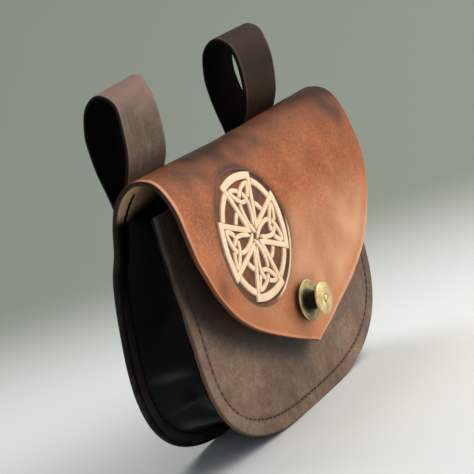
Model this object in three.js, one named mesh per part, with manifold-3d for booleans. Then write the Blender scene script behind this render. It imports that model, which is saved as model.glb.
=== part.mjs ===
// Leather belt bag with a carved flap, two belt loops and a brass pull clasp.
// Millimetres, +Z up, the bag's front faces -Y, its own left side is -X in the front view.
import * as THREE from 'three';
import { mergeVertices } from 'three/addons/utils/BufferGeometryUtils.js';
import Module from 'manifold-3d';

const wasm = await Module();
wasm.setup();

// Driving dimensions of the two panels
const rimHalfWidth = 88;
const cornerHeight = 54;
const cornerPower = 2.75;
const backTopHalfWidth = 86;
const frontTopHalfWidth = 89;
const backStraight = 100;
const seamTop = 112;
const frontTop = 114.5;
const footSink = 0.7;
const bottomDepth = 39;
const backLean = THREE.MathUtils.degToRad(7.1);
const frontLean = THREE.MathUtils.degToRad(1.2);

// Leather thicknesses and the gap kept between neighbouring pieces
const bodyLeather = 2.2;
const panelLeather = 2.2;
const gussetLeather = 1.6;
const loopLeather = 1.9;
const seatGap = 0.3;

// Front panel: swell between its sewn margins, dying out below its top edge
const panelSwell = 3.6;
const sewnMargin = 9.5;
const swellFade = 60;

// Gusset: sewn flanges, the web between them and how far it sags into the bag
const flangeWidth = 8;
const flangeInset = 1.6;
const webSag = 3;

// Belt loops
const loopSpacing = 110;
const loopWidth = 30;
const sewnTab = { bottom: 82, top: 95 };
const loopFoot = 106;
const loopRise = { left: 1, right: 1.04 };

// Carved medallion
const medallionAcross = -36.5;
const medallionFromTip = 57.3;
const borderRadius = 30.3;
const armRadius = 27.8;
const armHalfAngle = THREE.MathUtils.degToRad(30);
const armRootHalfAngle = THREE.MathUtils.degToRad(34);
const outerRing = { inside: 24.1, outside: 26.4 };
const innerRing = { inside: 13.5, outside: 15.5 };
const hubRadius = 6;
const carvedDepth = 0.8;

// Clasp, measured along its axis from the flap's outer face
const claspAcross = -12.2;
const claspFromTip = 19.6;
const flangeRadius = 9.3;
const cupRise = 3.2;
const neckRadius = 4.2;
const boreRadius = 2.9;
const stemRadius = 2.5;
const knobRadius = 7.3;
const knobBase = 8.9;
const knobThickness = 2.2;
const washerRadius = 6.6;
const postRadius = 2.3;
const holeGap = 0.35;

// Outer face of the back and flap in profile: forward of the back's foot, and height
const flapProfile = [
  { forward: 16.4, height: 112.5 },
  { forward: 23.6, height: 122.4 },
  { forward: 33.2, height: 128.2 },
  { forward: 43.2, height: 126.2 },
  { forward: 49.6, height: 116.0 },
  { forward: 52.2, height: 101.6 },
  { forward: 53.3, height: 84.2 },
  { forward: 52.7, height: 62 },
  { forward: 52.4, height: 46 },
  { forward: 52.4, height: 30.1 },
];

// Flap outline: half width at each height on the front, and how far its middle drifts sideways
const flapOutline = [
  { height: 101.6, halfWidth: 88.1, drift: 0 },
  { height: 92, halfWidth: 87.4, drift: 0 },
  { height: 84.2, halfWidth: 84.7, drift: 0 },
  { height: 76, halfWidth: 81, drift: 0 },
  { height: 68, halfWidth: 75.4, drift: 0 },
  { height: 60.2, halfWidth: 68.4, drift: 0.2 },
  { height: 52, halfWidth: 57, drift: 0.2 },
  { height: 44, halfWidth: 40, drift: -1 },
  { height: 38, halfWidth: 23.6, drift: -4 },
  { height: 33, halfWidth: 10, drift: -5.6 },
  { height: 30.8, halfWidth: 3, drift: -7 },
  { height: 30.1, halfWidth: 1.2, drift: -7.5 },
];

// Belt loop: the strip's middle line in profile, from the sewn tab up, over and down again
const loopRows = [
  { forward: 12.3, height: 106 },
  { forward: 15.3, height: 115 },
  { forward: 20.0, height: 124 },
  { forward: 25.2, height: 134 },
  { forward: 27.6, height: 144 },
  { forward: 27.9, height: 154 },
  { forward: 25.2, height: 162.9 },
  { forward: 19.0, height: 166.8 },
  { forward: 12.2, height: 162.9 },
  { forward: 9.0, height: 153 },
  { forward: 8.7, height: 143 },
  { forward: 9.4, height: 134 },
  { forward: 10.6, height: 124 },
  { forward: 11.0, height: 115 },
  { forward: 9.6, height: 106 },
];

// Folds of the gusset web: place along the seam (-1 left end, 0 bottom, 1 right end), place
// across from the front panel to the back, half lengths both ways and depth into the bag
const gussetFolds = [
  { along: -0.47, across: 0.3, alongHalf: 0.07, acrossHalf: 0.3, depth: 2.4 },
  { along: -0.36, across: 0.62, alongHalf: 0.05, acrossHalf: 0.34, depth: -1.5 },
  { along: -0.66, across: 0.5, alongHalf: 0.09, acrossHalf: 0.4, depth: 1.4 },
  { along: 0.45, across: 0.34, alongHalf: 0.07, acrossHalf: 0.3, depth: 2.1 },
  { along: 0.35, across: 0.6, alongHalf: 0.05, acrossHalf: 0.34, depth: -1.4 },
  { along: 0.69, across: 0.5, alongHalf: 0.09, acrossHalf: 0.4, depth: 1.2 },
];

// Mesh fineness
const cornerSteps = 14;
const sideSteps = 5;
const panelColumns = 13;
const latheSteps = 24;
const loopSteps = 44;
const borderSteps = 40;
const armSteps = 6;
const cellSteps = { inside: 2, outside: 3 };
const foldSteps = 16;
const frontSteps = 20;
const bodyColumns = 7;
const gussetStations = 61;
const webColumns = 9;

const materials = {
  cognac: leather(0xb77652, 0.52),
  darkBrown: leather(0x6b5a4e, 0.62),
  black: leather(0x15181a, 0.38),
  brass: new THREE.MeshStandardMaterial({ color: 0xb59a62, roughness: 0.34, metalness: 1 }),
};

function leather(color, roughness) {
  return new THREE.MeshStandardMaterial({ color, roughness, metalness: 0 });
}

// A closed solid from two matching grids of points, side 0 outside and side 1 inside
function closedSheet(rowCount, columnCount, place) {
  const positions = [];
  const triangles = [];
  const corner = (row, column, side) => (row * columnCount + column) * 2 + side;
  const quad = (a, b, c, d) => triangles.push(a, b, c, a, c, d);
  for (let row = 0; row < rowCount; row += 1) {
    for (let column = 0; column < columnCount; column += 1) {
      positions.push(...place(row, column, 0).toArray(), ...place(row, column, 1).toArray());
    }
  }
  for (let row = 0; row + 1 < rowCount; row += 1) {
    for (let column = 0; column + 1 < columnCount; column += 1) {
      const near = [corner(row, column, 0), corner(row, column + 1, 0)];
      const far = [corner(row + 1, column, 0), corner(row + 1, column + 1, 0)];
      quad(near[0], near[1], far[1], far[0]);
      quad(far[0] + 1, far[1] + 1, near[1] + 1, near[0] + 1);
    }
    for (const column of [0, columnCount - 1]) {
      const wall = [corner(row, column, 0), corner(row + 1, column, 0)];
      const ring = [wall[0], wall[1], wall[1] + 1, wall[0] + 1];
      quad(...(column === 0 ? ring : ring.reverse()));
    }
  }
  for (let column = 0; column + 1 < columnCount; column += 1) {
    for (const row of [0, rowCount - 1]) {
      const wall = [corner(row, column, 0), corner(row, column + 1, 0)];
      const ring = [wall[1], wall[0], wall[0] + 1, wall[1] + 1];
      quad(...(row === 0 ? ring : ring.reverse()));
    }
  }
  return facingOut(positions, triangles);
}

function facingOut(positions, triangles) {
  const points = [0, 1, 2].map(() => new THREE.Vector3());
  let volume = 0;
  for (let start = 0; start < triangles.length; start += 3) {
    points.forEach((point, side) => point.fromArray(positions, triangles[start + side] * 3));
    volume += points[0].dot(points[1].clone().cross(points[2]));
  }
  const geometry = new THREE.BufferGeometry();
  geometry.setAttribute('position', new THREE.Float32BufferAttribute(positions, 3));
  geometry.setIndex(volume > 0 ? triangles : triangles.reverse());
  return geometry;
}

function toSolid(geometry) {
  const bare = new THREE.BufferGeometry();
  bare.setAttribute('position', geometry.getAttribute('position').clone());
  bare.setIndex(geometry.getIndex());
  const merged = mergeVertices(bare, 1e-4);
  const vertProperties = new Float32Array(merged.getAttribute('position').array);
  const triVerts = new Uint32Array(merged.getIndex().array);
  return new wasm.Manifold(new wasm.Mesh({ numProp: 3, vertProperties, triVerts }));
}

function toGeometry(solid) {
  const { vertProperties, triVerts } = solid.getMesh();
  const geometry = new THREE.BufferGeometry();
  geometry.setAttribute('position', new THREE.BufferAttribute(vertProperties, 3));
  geometry.setIndex(new THREE.BufferAttribute(triVerts, 1));
  return geometry;
}

function cut(geometry, cutters) {
  const solid = cutters.reduce((left, cutter) => left.subtract(toSolid(cutter)), toSolid(geometry));
  return toGeometry(solid);
}

// Everything under the floor, so that the soft rims end flat where they rest
function belowFloor() {
  const size = 400;
  return new THREE.BoxGeometry(size, size, size).translate(0, 0, -size / 2);
}

// Rim of a panel, turn 0 at the bottom to 1 at the top of the seam
function rimPoint(turn, topHalfWidth) {
  const cornerShare = cornerSteps / (cornerSteps + sideSteps);
  if (turn < cornerShare) {
    const angle = (Math.PI / 2) * (1 - turn / cornerShare);
    const across = rimHalfWidth * Math.cos(angle) ** (2 / cornerPower);
    const up = cornerHeight * (1 - Math.sin(angle) ** (2 / cornerPower));
    return new THREE.Vector2(across, up - footSink);
  }
  const climb = (turn - cornerShare) / (1 - cornerShare);
  const across = THREE.MathUtils.lerp(rimHalfWidth, topHalfWidth, climb);
  return new THREE.Vector2(across, THREE.MathUtils.lerp(cornerHeight, seamTop, climb) - footSink);
}

// Same rim from the left end (-1) through the bottom to the right end (1), with its outward side
function rimStation(along, topHalfWidth) {
  const point = (place) => {
    const half = rimPoint(Math.min(Math.abs(place), 1), topHalfWidth);
    return half.setX(half.x * Math.sign(place));
  };
  const step = 0.004;
  const before = point(Math.max(along - step, -1));
  const after = point(Math.min(along + step, 1));
  const ahead = after.sub(before).normalize();
  return { at: point(along), outward: new THREE.Vector2(ahead.y, -ahead.x) };
}

// Points on the two leaning panels: across, up the panel, and into the bag from the outer face
function onBack(across, up, inward) {
  const forward = up * Math.sin(backLean) + inward * Math.cos(backLean);
  const height = up * Math.cos(backLean) - inward * Math.sin(backLean);
  return new THREE.Vector3(across, -forward, height);
}

function onFront(across, up, inward) {
  const forward = bottomDepth + up * Math.sin(frontLean) - inward * Math.cos(frontLean);
  const height = up * Math.cos(frontLean) + inward * Math.sin(frontLean);
  return new THREE.Vector3(across, -forward, height);
}

// Profile of the one piece of leather that is the back, the fold and the flap
const backRows = [-footSink, 30, 60, 80, backStraight];
const profile = new THREE.CatmullRomCurve3([
  ...backRows.map((up) => onBack(0, up, 0)),
  ...flapProfile.map((row) => new THREE.Vector3(0, -row.forward, row.height)),
]);
profile.arcLengthDivisions = 1200;
const profileLength = profile.getLength();

function onBody(across, along, inward) {
  const share = THREE.MathUtils.clamp(along / profileLength, 0, 1);
  const ahead = profile.getTangentAt(share);
  const outward = new THREE.Vector3(0, ahead.z, -ahead.y);
  return profile.getPointAt(share).addScaledVector(outward, -inward).setX(across);
}

function betweenRows(rows, key, height, column) {
  const next = rows.findIndex((row) => row[key] <= height);
  if (next === 0) return rows[0][column];
  if (next < 0) return rows[rows.length - 1][column];
  const [above, below] = [rows[next - 1], rows[next]];
  const share = (above[key] - height) / (above[key] - below[key]);
  return THREE.MathUtils.lerp(above[column], below[column], share);
}

// Rows of the body leather: place along the profile, half width and sideways drift
function bodyRows() {
  const rows = [];
  for (let step = 1; step <= cornerSteps + sideSteps; step += 1) {
    const rim = rimPoint(step / (cornerSteps + sideSteps), backTopHalfWidth);
    rows.push({ along: rim.y + footSink, halfWidth: rim.x, drift: 0 });
  }
  const frontStart = profileLength - (flapOutline[0].height - flapOutline.at(-1).height);
  for (let step = 1; step < foldSteps; step += 1) {
    const along = THREE.MathUtils.lerp(seamTop, frontStart, step / foldSteps);
    const halfWidth = THREE.MathUtils.lerp(backTopHalfWidth, flapOutline[0].halfWidth, step / foldSteps);
    rows.push({ along, halfWidth, drift: 0 });
  }
  for (let step = 0; step <= frontSteps; step += 1) {
    const along = THREE.MathUtils.lerp(frontStart, profileLength, step / frontSteps);
    const height = flapOutline.at(-1).height + profileLength - along;
    const halfWidth = betweenRows(flapOutline, 'height', height, 'halfWidth');
    rows.push({ along, halfWidth, drift: betweenRows(flapOutline, 'height', height, 'drift') });
  }
  return rows;
}

function backAndFlap() {
  const rows = bodyRows();
  const sheet = closedSheet(rows.length, bodyColumns, (row, column, side) => {
    const { along, halfWidth, drift } = rows[row];
    const across = THREE.MathUtils.lerp(-halfWidth, halfWidth, column / (bodyColumns - 1)) + drift;
    return onBody(across, along, side * bodyLeather);
  });
  const hole = throughHole(neckRadius + holeGap, -bodyLeather / 2);
  return cut(sheet, [belowFloor(), hole, ...medallionCutters()]);
}

// Carved ground of the medallion: cells between the four arms and the band around them
function medallionCutters() {
  const cells = [new THREE.Shape(groundRing())];
  cells[0].holes.push(new THREE.Path(armsOutline()));
  for (let quarter = 0; quarter < 4; quarter += 1) {
    const middle = (quarter + 0.5) * (Math.PI / 2);
    const rootHalf = Math.PI / 4 - armRootHalfAngle;
    const endHalf = Math.PI / 4 - armHalfAngle;
    cells.push(cell(middle, rootHalf, hubRadius, innerRing.inside));
    cells.push(cell(middle, endHalf, innerRing.outside, outerRing.inside));
  }
  return cells.map(carve);
}

function arc(radius, from, to, steps) {
  return Array.from({ length: steps + 1 }, (_, step) => {
    const angle = THREE.MathUtils.lerp(from, to, step / steps);
    return new THREE.Vector2(radius * Math.cos(angle), radius * Math.sin(angle));
  });
}

function groundRing() {
  return arc(borderRadius, 0, 2 * Math.PI * (1 - 1 / borderSteps), borderSteps - 1);
}

function armsOutline() {
  const points = [];
  for (let quarter = 0; quarter < 4; quarter += 1) {
    const start = quarter * (Math.PI / 2);
    const end = start + Math.PI / 2;
    points.push(...arc(armRadius, start - armHalfAngle, start + armHalfAngle, armSteps));
    points.push(...arc(outerRing.outside, start + armHalfAngle, end - armHalfAngle, cellSteps.outside));
  }
  return points;
}

function cell(middle, half, inside, outside) {
  const near = arc(inside, middle + half, middle - half, cellSteps.inside);
  return new THREE.Shape([...arc(outside, middle - half, middle + half, cellSteps.outside), ...near]);
}

function carve(shape) {
  const above = 1;
  const flat = new THREE.ExtrudeGeometry(shape, { depth: carvedDepth + above, bevelEnabled: false });
  const centre = profileLength - medallionFromTip;
  const position = flat.getAttribute('position');
  for (let place = 0; place < position.count; place += 1) {
    const across = medallionAcross + position.getX(place);
    const along = centre + position.getY(place);
    const point = onBody(across, along, carvedDepth - position.getZ(place));
    position.setXYZ(place, point.x, point.y, point.z);
  }
  const bare = new THREE.BufferGeometry();
  bare.setAttribute('position', position);
  const merged = mergeVertices(bare, 1e-4);
  return facingOut(Array.from(merged.getAttribute('position').array), Array.from(merged.getIndex().array));
}

// The clasp's own frame: its axis points out of the flap
function claspFrame() {
  const share = 1 - claspFromTip / profileLength;
  const ahead = profile.getTangentAt(share);
  const axis = new THREE.Vector3(0, ahead.z, -ahead.y);
  const spot = profile.getPointAt(share).setX(claspAcross);
  const turn = new THREE.Quaternion().setFromUnitVectors(new THREE.Vector3(0, 1, 0), axis);
  return new THREE.Matrix4().compose(spot, turn, new THREE.Vector3(1, 1, 1));
}

function turned(points) {
  const outline = points.map(([radius, level]) => new THREE.Vector2(radius, level));
  const lathe = new THREE.LatheGeometry(outline, latheSteps);
  const bare = new THREE.BufferGeometry();
  bare.setAttribute('position', lathe.getAttribute('position'));
  bare.setIndex(lathe.getIndex());
  const merged = mergeVertices(bare.applyMatrix4(claspFrame()), 1e-4);
  const triangles = Array.from(merged.getIndex().array);
  const whole = [];
  for (let start = 0; start < triangles.length; start += 3) {
    const [a, b, c] = triangles.slice(start, start + 3);
    if (a !== b && b !== c && c !== a) whole.push(a, b, c);
  }
  return facingOut(Array.from(merged.getAttribute('position').array), whole);
}

// Round cutter on the clasp's axis, through the leather whose middle lies at this level
function throughHole(radius, level) {
  const reach = 4;
  return turned([[0, level - reach], [radius, level - reach], [radius, level + reach], [0, level + reach]]);
}

// Cup on the flap with its neck riveted through the leather
function claspPlate() {
  const back = -bodyLeather - seatGap;
  const rivet = 1.2;
  const sheet = 1.1;
  return turned([
    [boreRadius, back - rivet],
    [washerRadius, back - rivet],
    [washerRadius, back],
    [neckRadius, back],
    [neckRadius, seatGap],
    [flangeRadius * 0.62, seatGap],
    [flangeRadius * 0.9, seatGap + cupRise * 0.32],
    [flangeRadius, cupRise],
    [flangeRadius - sheet, cupRise],
    [flangeRadius * 0.82, seatGap + sheet + cupRise * 0.2],
    [neckRadius + 0.9, seatGap + sheet],
    [neckRadius, seatGap + sheet + 0.8],
    [neckRadius, knobBase - 1.6],
    [boreRadius, knobBase - 1.6],
    [boreRadius, back - rivet],
  ]);
}

// Knob that is pulled outwards, with its stem inside the cup's neck
function claspKnob() {
  const top = knobBase + knobThickness;
  const stemEnd = seatGap + 1;
  return turned([
    [0, stemEnd],
    [stemRadius, stemEnd],
    [stemRadius, knobBase - 0.9],
    [knobRadius * 0.55, knobBase],
    [knobRadius * 0.94, knobBase + 0.3],
    [knobRadius, knobBase + 0.9],
    [knobRadius * 0.95, top - 0.5],
    [knobRadius * 0.5, top],
    [2.1, top - 0.1],
    [1.6, top - 0.6],
    [1.4, top - 0.6],
    [1.1, top + 0.2],
    [0, top + 0.5],
  ]);
}

// Swell of the front panel, nothing on its sewn margins
function swellAt(across, up) {
  const edge = betweenPanelSides(up);
  const side = THREE.MathUtils.clamp((edge - sewnMargin - Math.abs(across)) / (edge - sewnMargin), 0, 1);
  const foot = THREE.MathUtils.clamp((up - sewnMargin) / cornerHeight, 0, 1);
  const top = THREE.MathUtils.clamp((frontTop - up) / swellFade, 0, 1);
  return [side, foot, top].reduce((swell, share) => swell * Math.sin((share * Math.PI) / 2), panelSwell);
}

function betweenPanelSides(up) {
  const height = THREE.MathUtils.clamp((up + footSink) / cornerHeight, 0, 1);
  return rimHalfWidth * (1 - (1 - height) ** cornerPower) ** (1 / cornerPower);
}

// Where the clasp's axis meets the front panel's outer face, measured along the axis
function panelLevel() {
  const frame = claspFrame();
  const axis = new THREE.Vector3().setFromMatrixColumn(frame, 1);
  const spot = new THREE.Vector3().setFromMatrixPosition(frame);
  let level = -bodyLeather;
  const step = 0.02;
  const ahead = (point) => point.y - onFront(0, point.z, -swellAt(point.x, point.z)).y;
  while (ahead(spot.clone().addScaledVector(axis, level)) < 0) level -= step;
  return level;
}

// Plain post riveted through the front panel, its tip inside the cup's neck
function claspStud() {
  const face = panelLevel();
  const skew = 0.55;
  const outer = face + seatGap + skew;
  const inner = face - panelLeather - seatGap - skew;
  const rivet = 1.2;
  return turned([
    [0, inner - rivet],
    [washerRadius, inner - rivet],
    [washerRadius, inner],
    [postRadius, inner],
    [postRadius, outer],
    [washerRadius, outer],
    [washerRadius, outer + rivet],
    [postRadius, outer + rivet],
    [postRadius, seatGap - 0.4],
    [0, seatGap - 0.4],
  ]);
}

function frontPanel() {
  const steps = cornerSteps + sideSteps;
  const rows = [];
  for (let step = 1; step <= steps; step += 1) rows.push(rimPoint(step / steps, frontTopHalfWidth));
  rows.push(new THREE.Vector2(frontTopHalfWidth, frontTop));
  const sheet = closedSheet(rows.length, panelColumns, (row, column, side) => {
    const share = (column / (panelColumns - 1)) * 2 - 1;
    const across = rows[row].x * Math.sin((share * Math.PI) / 2);
    return onFront(across, rows[row].y, side * panelLeather - swellAt(across, rows[row].y));
  });
  return cut(sheet, [belowFloor(), throughHole(postRadius + holeGap, panelLevel() - panelLeather / 2)]);
}

function foldDepth(along, across) {
  return gussetFolds.reduce((depth, fold) => {
    const alongShare = (along - fold.along) / fold.alongHalf;
    const acrossShare = (across - fold.across) / fold.acrossHalf;
    return depth + fold.depth * Math.exp(-(alongShare ** 2) - acrossShare ** 2);
  }, 0);
}

// Soft channel sewn between the panels: a flange on the front, the web and a flange on the back
function gusset() {
  const turnIn = flangeWidth - gussetLeather;
  const frontSeat = panelLeather + seatGap;
  const backSeat = bodyLeather + seatGap;
  const onInside = (across, up, inward) => onBody(across, up + footSink, inward);
  const edge = (onPanel, rim, inset, inward) => {
    const spot = rim.at.clone().addScaledVector(rim.outward, -inset);
    return onPanel(spot.x, spot.y, inward);
  };
  return closedSheet(gussetStations, webColumns + 4, (row, column, side) => {
    const along = (row / (gussetStations - 1)) * 2 - 1;
    const front = rimStation(along, frontTopHalfWidth);
    const back = rimStation(along, backTopHalfWidth);
    const layer = side * gussetLeather;
    const onEdge = (onPanel, rim, seat, inset) => edge(onPanel, rim, inset, seat + gussetLeather - layer);
    if (column === 0) return onEdge(onFront, front, frontSeat, flangeInset);
    if (column === 1) return onEdge(onFront, front, frontSeat, turnIn + layer);
    if (column === webColumns + 2) return onEdge(onInside, back, backSeat, turnIn + layer);
    if (column === webColumns + 3) return onEdge(onInside, back, backSeat, flangeInset);
    const across = (column - 1) / (webColumns + 1);
    const sag = (webSag + foldDepth(along, across)) * Math.sin(Math.PI * across);
    const inset = turnIn + layer + sag;
    const start = edge(onFront, front, inset, frontSeat + gussetLeather - layer);
    const end = edge(onInside, back, inset, backSeat + gussetLeather - layer);
    return start.lerp(end, across);
  });
}

// Strip that leaves the back, makes the belt loop and comes back to be sewn down on itself
function beltLoop(middleAcross, rise) {
  const lowerLayer = -seatGap - loopLeather / 2;
  const upperLayer = lowerLayer - loopLeather - seatGap;
  const line = new THREE.CatmullRomCurve3([
    onBack(0, sewnTab.bottom, lowerLayer),
    onBack(0, sewnTab.top, lowerLayer),
    ...loopRows.map((row) => new THREE.Vector3(0, -row.forward, loopFoot + (row.height - loopFoot) * rise)),
    onBack(0, sewnTab.top, upperLayer),
    onBack(0, sewnTab.bottom, upperLayer),
  ]);
  const halves = [-loopWidth / 2, loopWidth / 2];
  return closedSheet(loopSteps + 1, 2, (row, column, side) => {
    const share = row / loopSteps;
    const ahead = line.getTangentAt(share);
    const outward = new THREE.Vector3(0, ahead.z, -ahead.y);
    const level = (0.5 - side) * loopLeather;
    return line.getPointAt(share).addScaledVector(outward, level).setX(middleAcross + halves[column]);
  });
}

function piece(name, geometry, material) {
  const flat = geometry.toNonIndexed();
  flat.computeVertexNormals();
  const mesh = new THREE.Mesh(flat, material);
  mesh.name = name;
  return mesh;
}

const bag = new THREE.Group();
bag.add(piece('back_and_flap', backAndFlap(), materials.cognac));
bag.add(piece('front_panel', frontPanel(), materials.darkBrown));
bag.add(piece('gusset', gusset(), materials.black));
bag.add(piece('belt_loop_left', beltLoop(-loopSpacing / 2, loopRise.left), materials.darkBrown));
bag.add(piece('belt_loop_right', beltLoop(loopSpacing / 2, loopRise.right), materials.darkBrown));
bag.add(piece('clasp_plate', claspPlate(), materials.brass));
bag.add(piece('clasp_knob', claspKnob(), materials.brass));
bag.add(piece('clasp_stud', claspStud(), materials.brass));

// The origin lies on the floor under the middle of the whole bag
const size = new THREE.Box3().setFromObject(bag);
bag.position.y = -(size.min.y + size.max.y) / 2;

export default bag;
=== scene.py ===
import bisect
import bmesh
import bpy
import math
from mathutils import Matrix, Vector, kdtree, noise


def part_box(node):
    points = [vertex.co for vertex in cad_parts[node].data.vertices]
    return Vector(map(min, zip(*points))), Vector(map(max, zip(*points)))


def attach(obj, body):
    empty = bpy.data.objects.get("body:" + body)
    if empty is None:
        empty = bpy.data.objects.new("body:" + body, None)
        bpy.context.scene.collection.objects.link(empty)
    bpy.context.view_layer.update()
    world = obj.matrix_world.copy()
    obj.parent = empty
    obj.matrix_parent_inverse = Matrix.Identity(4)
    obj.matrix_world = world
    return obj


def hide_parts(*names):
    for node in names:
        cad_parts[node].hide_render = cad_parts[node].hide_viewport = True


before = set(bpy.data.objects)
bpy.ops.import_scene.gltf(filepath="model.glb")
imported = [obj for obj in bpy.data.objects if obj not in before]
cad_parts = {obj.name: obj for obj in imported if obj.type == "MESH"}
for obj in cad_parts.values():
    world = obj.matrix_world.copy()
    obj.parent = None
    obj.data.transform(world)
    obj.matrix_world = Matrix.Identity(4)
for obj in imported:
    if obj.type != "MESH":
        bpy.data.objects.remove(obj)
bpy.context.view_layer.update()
mm = 0.001
print("frame loaded")

# sizes in millimetres that all the leather shares
bag = {
    "rimHalf": 88.0, "cornerHeight": 54.0, "cornerPower": 2.75, "cornerShare": 14 / 19,
    "backTop": 86.0, "frontTop": 89.0, "seamTop": 112.0, "backSeamTop": 116.5, "footSink": 0.7,
    "depth": 39.0, "backLean": math.radians(7.1), "frontLean": math.radians(1.2),
    "bodyLeather": 2.2, "panelLeather": 2.2, "gussetLeather": 1.6, "loopLeather": 1.9,
    "seatGap": 0.3,
    # how far the soft back is pulled in at the fold and bellies out low down, by height
    "belly": ((112.0, 3.0), (102.0, 1.9), (92.0, -0.8), (80.0, -2.1), (68.0, -2.7), (51.0, -2.2),
              (39.0, -1.8), (27.0, -0.8), (15.0, -0.3), (-1.0, -0.2)),
}
# cut edges: share of the thickness left at the very edge, where the dark edge fades, crease angle
cutEdge = {"left": 0.28, "shade": (0.15, 0.9), "crease": 55}
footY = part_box("back_and_flap")[1].y / mm  # the back's foot stands here


def lerp(a, b, share):
    return a + (b - a) * share


def clamp(value, low=0.0, high=1.0):
    return max(low, min(high, value))


def ease(low, high, value):
    share = clamp((value - low) / (high - low))
    return share * share * (3 - 2 * share)


def fade(low, high, value):
    return 1 - ease(low, high, value)


# soft hump, 1 in its middle: pairs of an offset and the half length it fades over
def hump(*pairs):
    return math.exp(-sum((offset / half) ** 2 for offset, half in pairs))


def hermite(a, b, slopeA, slopeB, t):
    cubed, squared = t ** 3, t ** 2
    return (a * (2 * cubed - 3 * squared + 1) + slopeA * (cubed - 2 * squared + t)
            + b * (3 * squared - 2 * cubed) + slopeB * (cubed - squared))


# spline through the points, kept as fine samples with their running length
def bendLine(points, perSpan=40):
    knots = [Vector(p) for p in points]
    knots = [knots[0] * 2 - knots[1]] + knots + [knots[-1] * 2 - knots[-2]]
    samples = []
    for a, b, c, d in zip(knots, knots[1:], knots[2:], knots[3:]):
        da, db, dc = [(q - p).length ** 0.5 for p, q in ((a, b), (b, c), (c, d))]
        pullB = ((b - a) / da - (c - a) / (da + db) + (c - b) / db) * db
        pullC = ((c - b) / db - (d - b) / (db + dc) + (d - c) / dc) * db
        samples += [hermite(b, c, pullB, pullC, step / perSpan) for step in range(perSpan)]
    samples.append(knots[-2])
    lengths = [0.0]
    for a, b in zip(samples, samples[1:]):
        lengths.append(lengths[-1] + (b - a).length)
    return {"samples": samples, "lengths": lengths, "length": lengths[-1]}


# spot on such a line and the direction of the line there
def lineAt(line, along):
    last = len(line["samples"]) - 2
    spot = min(max(bisect.bisect_right(line["lengths"], along) - 1, 0), last)
    a, b = line["samples"][spot], line["samples"][spot + 1]
    share = (along - line["lengths"][spot]) / (line["lengths"][spot + 1] - line["lengths"][spot])
    before, after = line["samples"][max(spot - 2, 0)], line["samples"][min(spot + 3, last + 1)]
    return a.lerp(b, clamp(share)), (after - before).normalized()


# rows of (key, value, value...) with a falling key, smoothed between the rows
def tableAt(rows, key, value):
    spot = next((i for i, row in enumerate(rows) if row[0] <= key), len(rows) - 1)
    if spot == 0:
        return rows[0][value]
    a, b = rows[spot - 1], rows[spot]
    before, after = rows[max(spot - 2, 0)], rows[min(spot + 1, len(rows) - 1)]
    span = b[0] - a[0]
    slopeA = (b[value] - before[value]) / (b[0] - before[0]) * span
    slopeB = (after[value] - a[value]) / (after[0] - a[0]) * span
    return hermite(a[value], b[value], slopeA, slopeB, clamp((key - a[0]) / span))


def rowSpot(across, forward, height):
    return Vector((across, footY - forward, height)) * mm


def onFront(across, up, inward):
    lean = bag["frontLean"]
    forward = bag["depth"] + up * math.sin(lean) - inward * math.cos(lean)
    return rowSpot(across, forward, up * math.cos(lean) + inward * math.sin(lean))


def backSpot(up, inward):
    lean = bag["backLean"]
    inward += tableAt(bag["belly"], up, 1)
    forward = up * math.sin(lean) + inward * math.cos(lean)
    return Vector((forward, up * math.cos(lean) - inward * math.sin(lean)))


def rimHalfAt(height, topHalf):
    if height < bag["cornerHeight"]:
        drop = 1 - clamp(height / bag["cornerHeight"])
        return bag["rimHalf"] * (1 - drop ** bag["cornerPower"]) ** (1 / bag["cornerPower"])
    climb = (height - bag["cornerHeight"]) / (bag["seamTop"] - bag["cornerHeight"])
    return lerp(bag["rimHalf"], topHalf, min(climb, 1))


# spot on a panel's rim from its left top end (-1) round the foot (0) to its right top end (1)
def rimSpot(place, topHalf, topUp):
    turn = min(abs(place), 1)
    corner = bag["cornerShare"]
    if turn < corner:
        angle = math.pi / 2 * (1 - turn / corner)
        power = 2 / bag["cornerPower"]
        across = bag["rimHalf"] * math.cos(angle) ** power
        up = bag["cornerHeight"] * (1 - math.sin(angle) ** power)
    else:
        climb = (turn - corner) / (1 - corner)
        across = lerp(bag["rimHalf"], topHalf, climb)
        up = lerp(bag["cornerHeight"], topUp, climb)
    return Vector((math.copysign(across, place), up - bag["footSink"]))


# that spot and the direction out of the panel there
def rimStation(along, topHalf, topUp=bag["seamTop"]):
    step = 0.004
    last, coming = max(along - step, -1), min(along + step, 1)
    ahead = (rimSpot(coming, topHalf, topUp) - rimSpot(last, topHalf, topUp)).normalized()
    return rimSpot(along, topHalf, topUp), Vector((ahead.y, -ahead.x))


# heights of a panel's grid rows: dense round the corner, even above it, dense at the far end
def sheetRows(look, foot, top):
    power = 2 / bag["cornerPower"]
    heights = []
    for i in range(1, look["cornerRows"] + 1):
        angle = i / look["cornerRows"] * math.pi / 2
        heights.append(bag["cornerHeight"] * (1 - math.cos(angle) ** power) - foot)
    while heights[-1] < top - look["evenTo"]:
        heights.append(heights[-1] + look["rowStep"])
    return heights + [top - back for back in look["lastRows"]]


def columnCount(look):
    return 2 * len(look["edgeColumns"]) + look["innerColumns"]


# place of a grid column across a strip, dense near both edges
def columnAcross(column, look, half, squeeze=1.0):
    edges, columns = look["edgeColumns"], columnCount(look)
    near = min(column, columns - 1 - column)
    if near < len(edges):
        side = -1 if column < columns / 2 else 1
        return side * (half - edges[near] * squeeze)
    reach = half - edges[-1] * squeeze
    return lerp(-reach, reach, (column - len(edges) + 1) / (look["innerColumns"] + 1))


def makeObject(bm, name, sharp):
    mesh = bpy.data.meshes.new(name)
    bm.to_mesh(mesh)
    bm.free()
    for face in mesh.polygons:
        face.use_smooth = True
    mesh.set_sharp_from_angle(angle=math.radians(sharp))
    piece = bpy.data.objects.new(name, mesh)
    bpy.context.scene.collection.objects.link(piece)
    return piece


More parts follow.
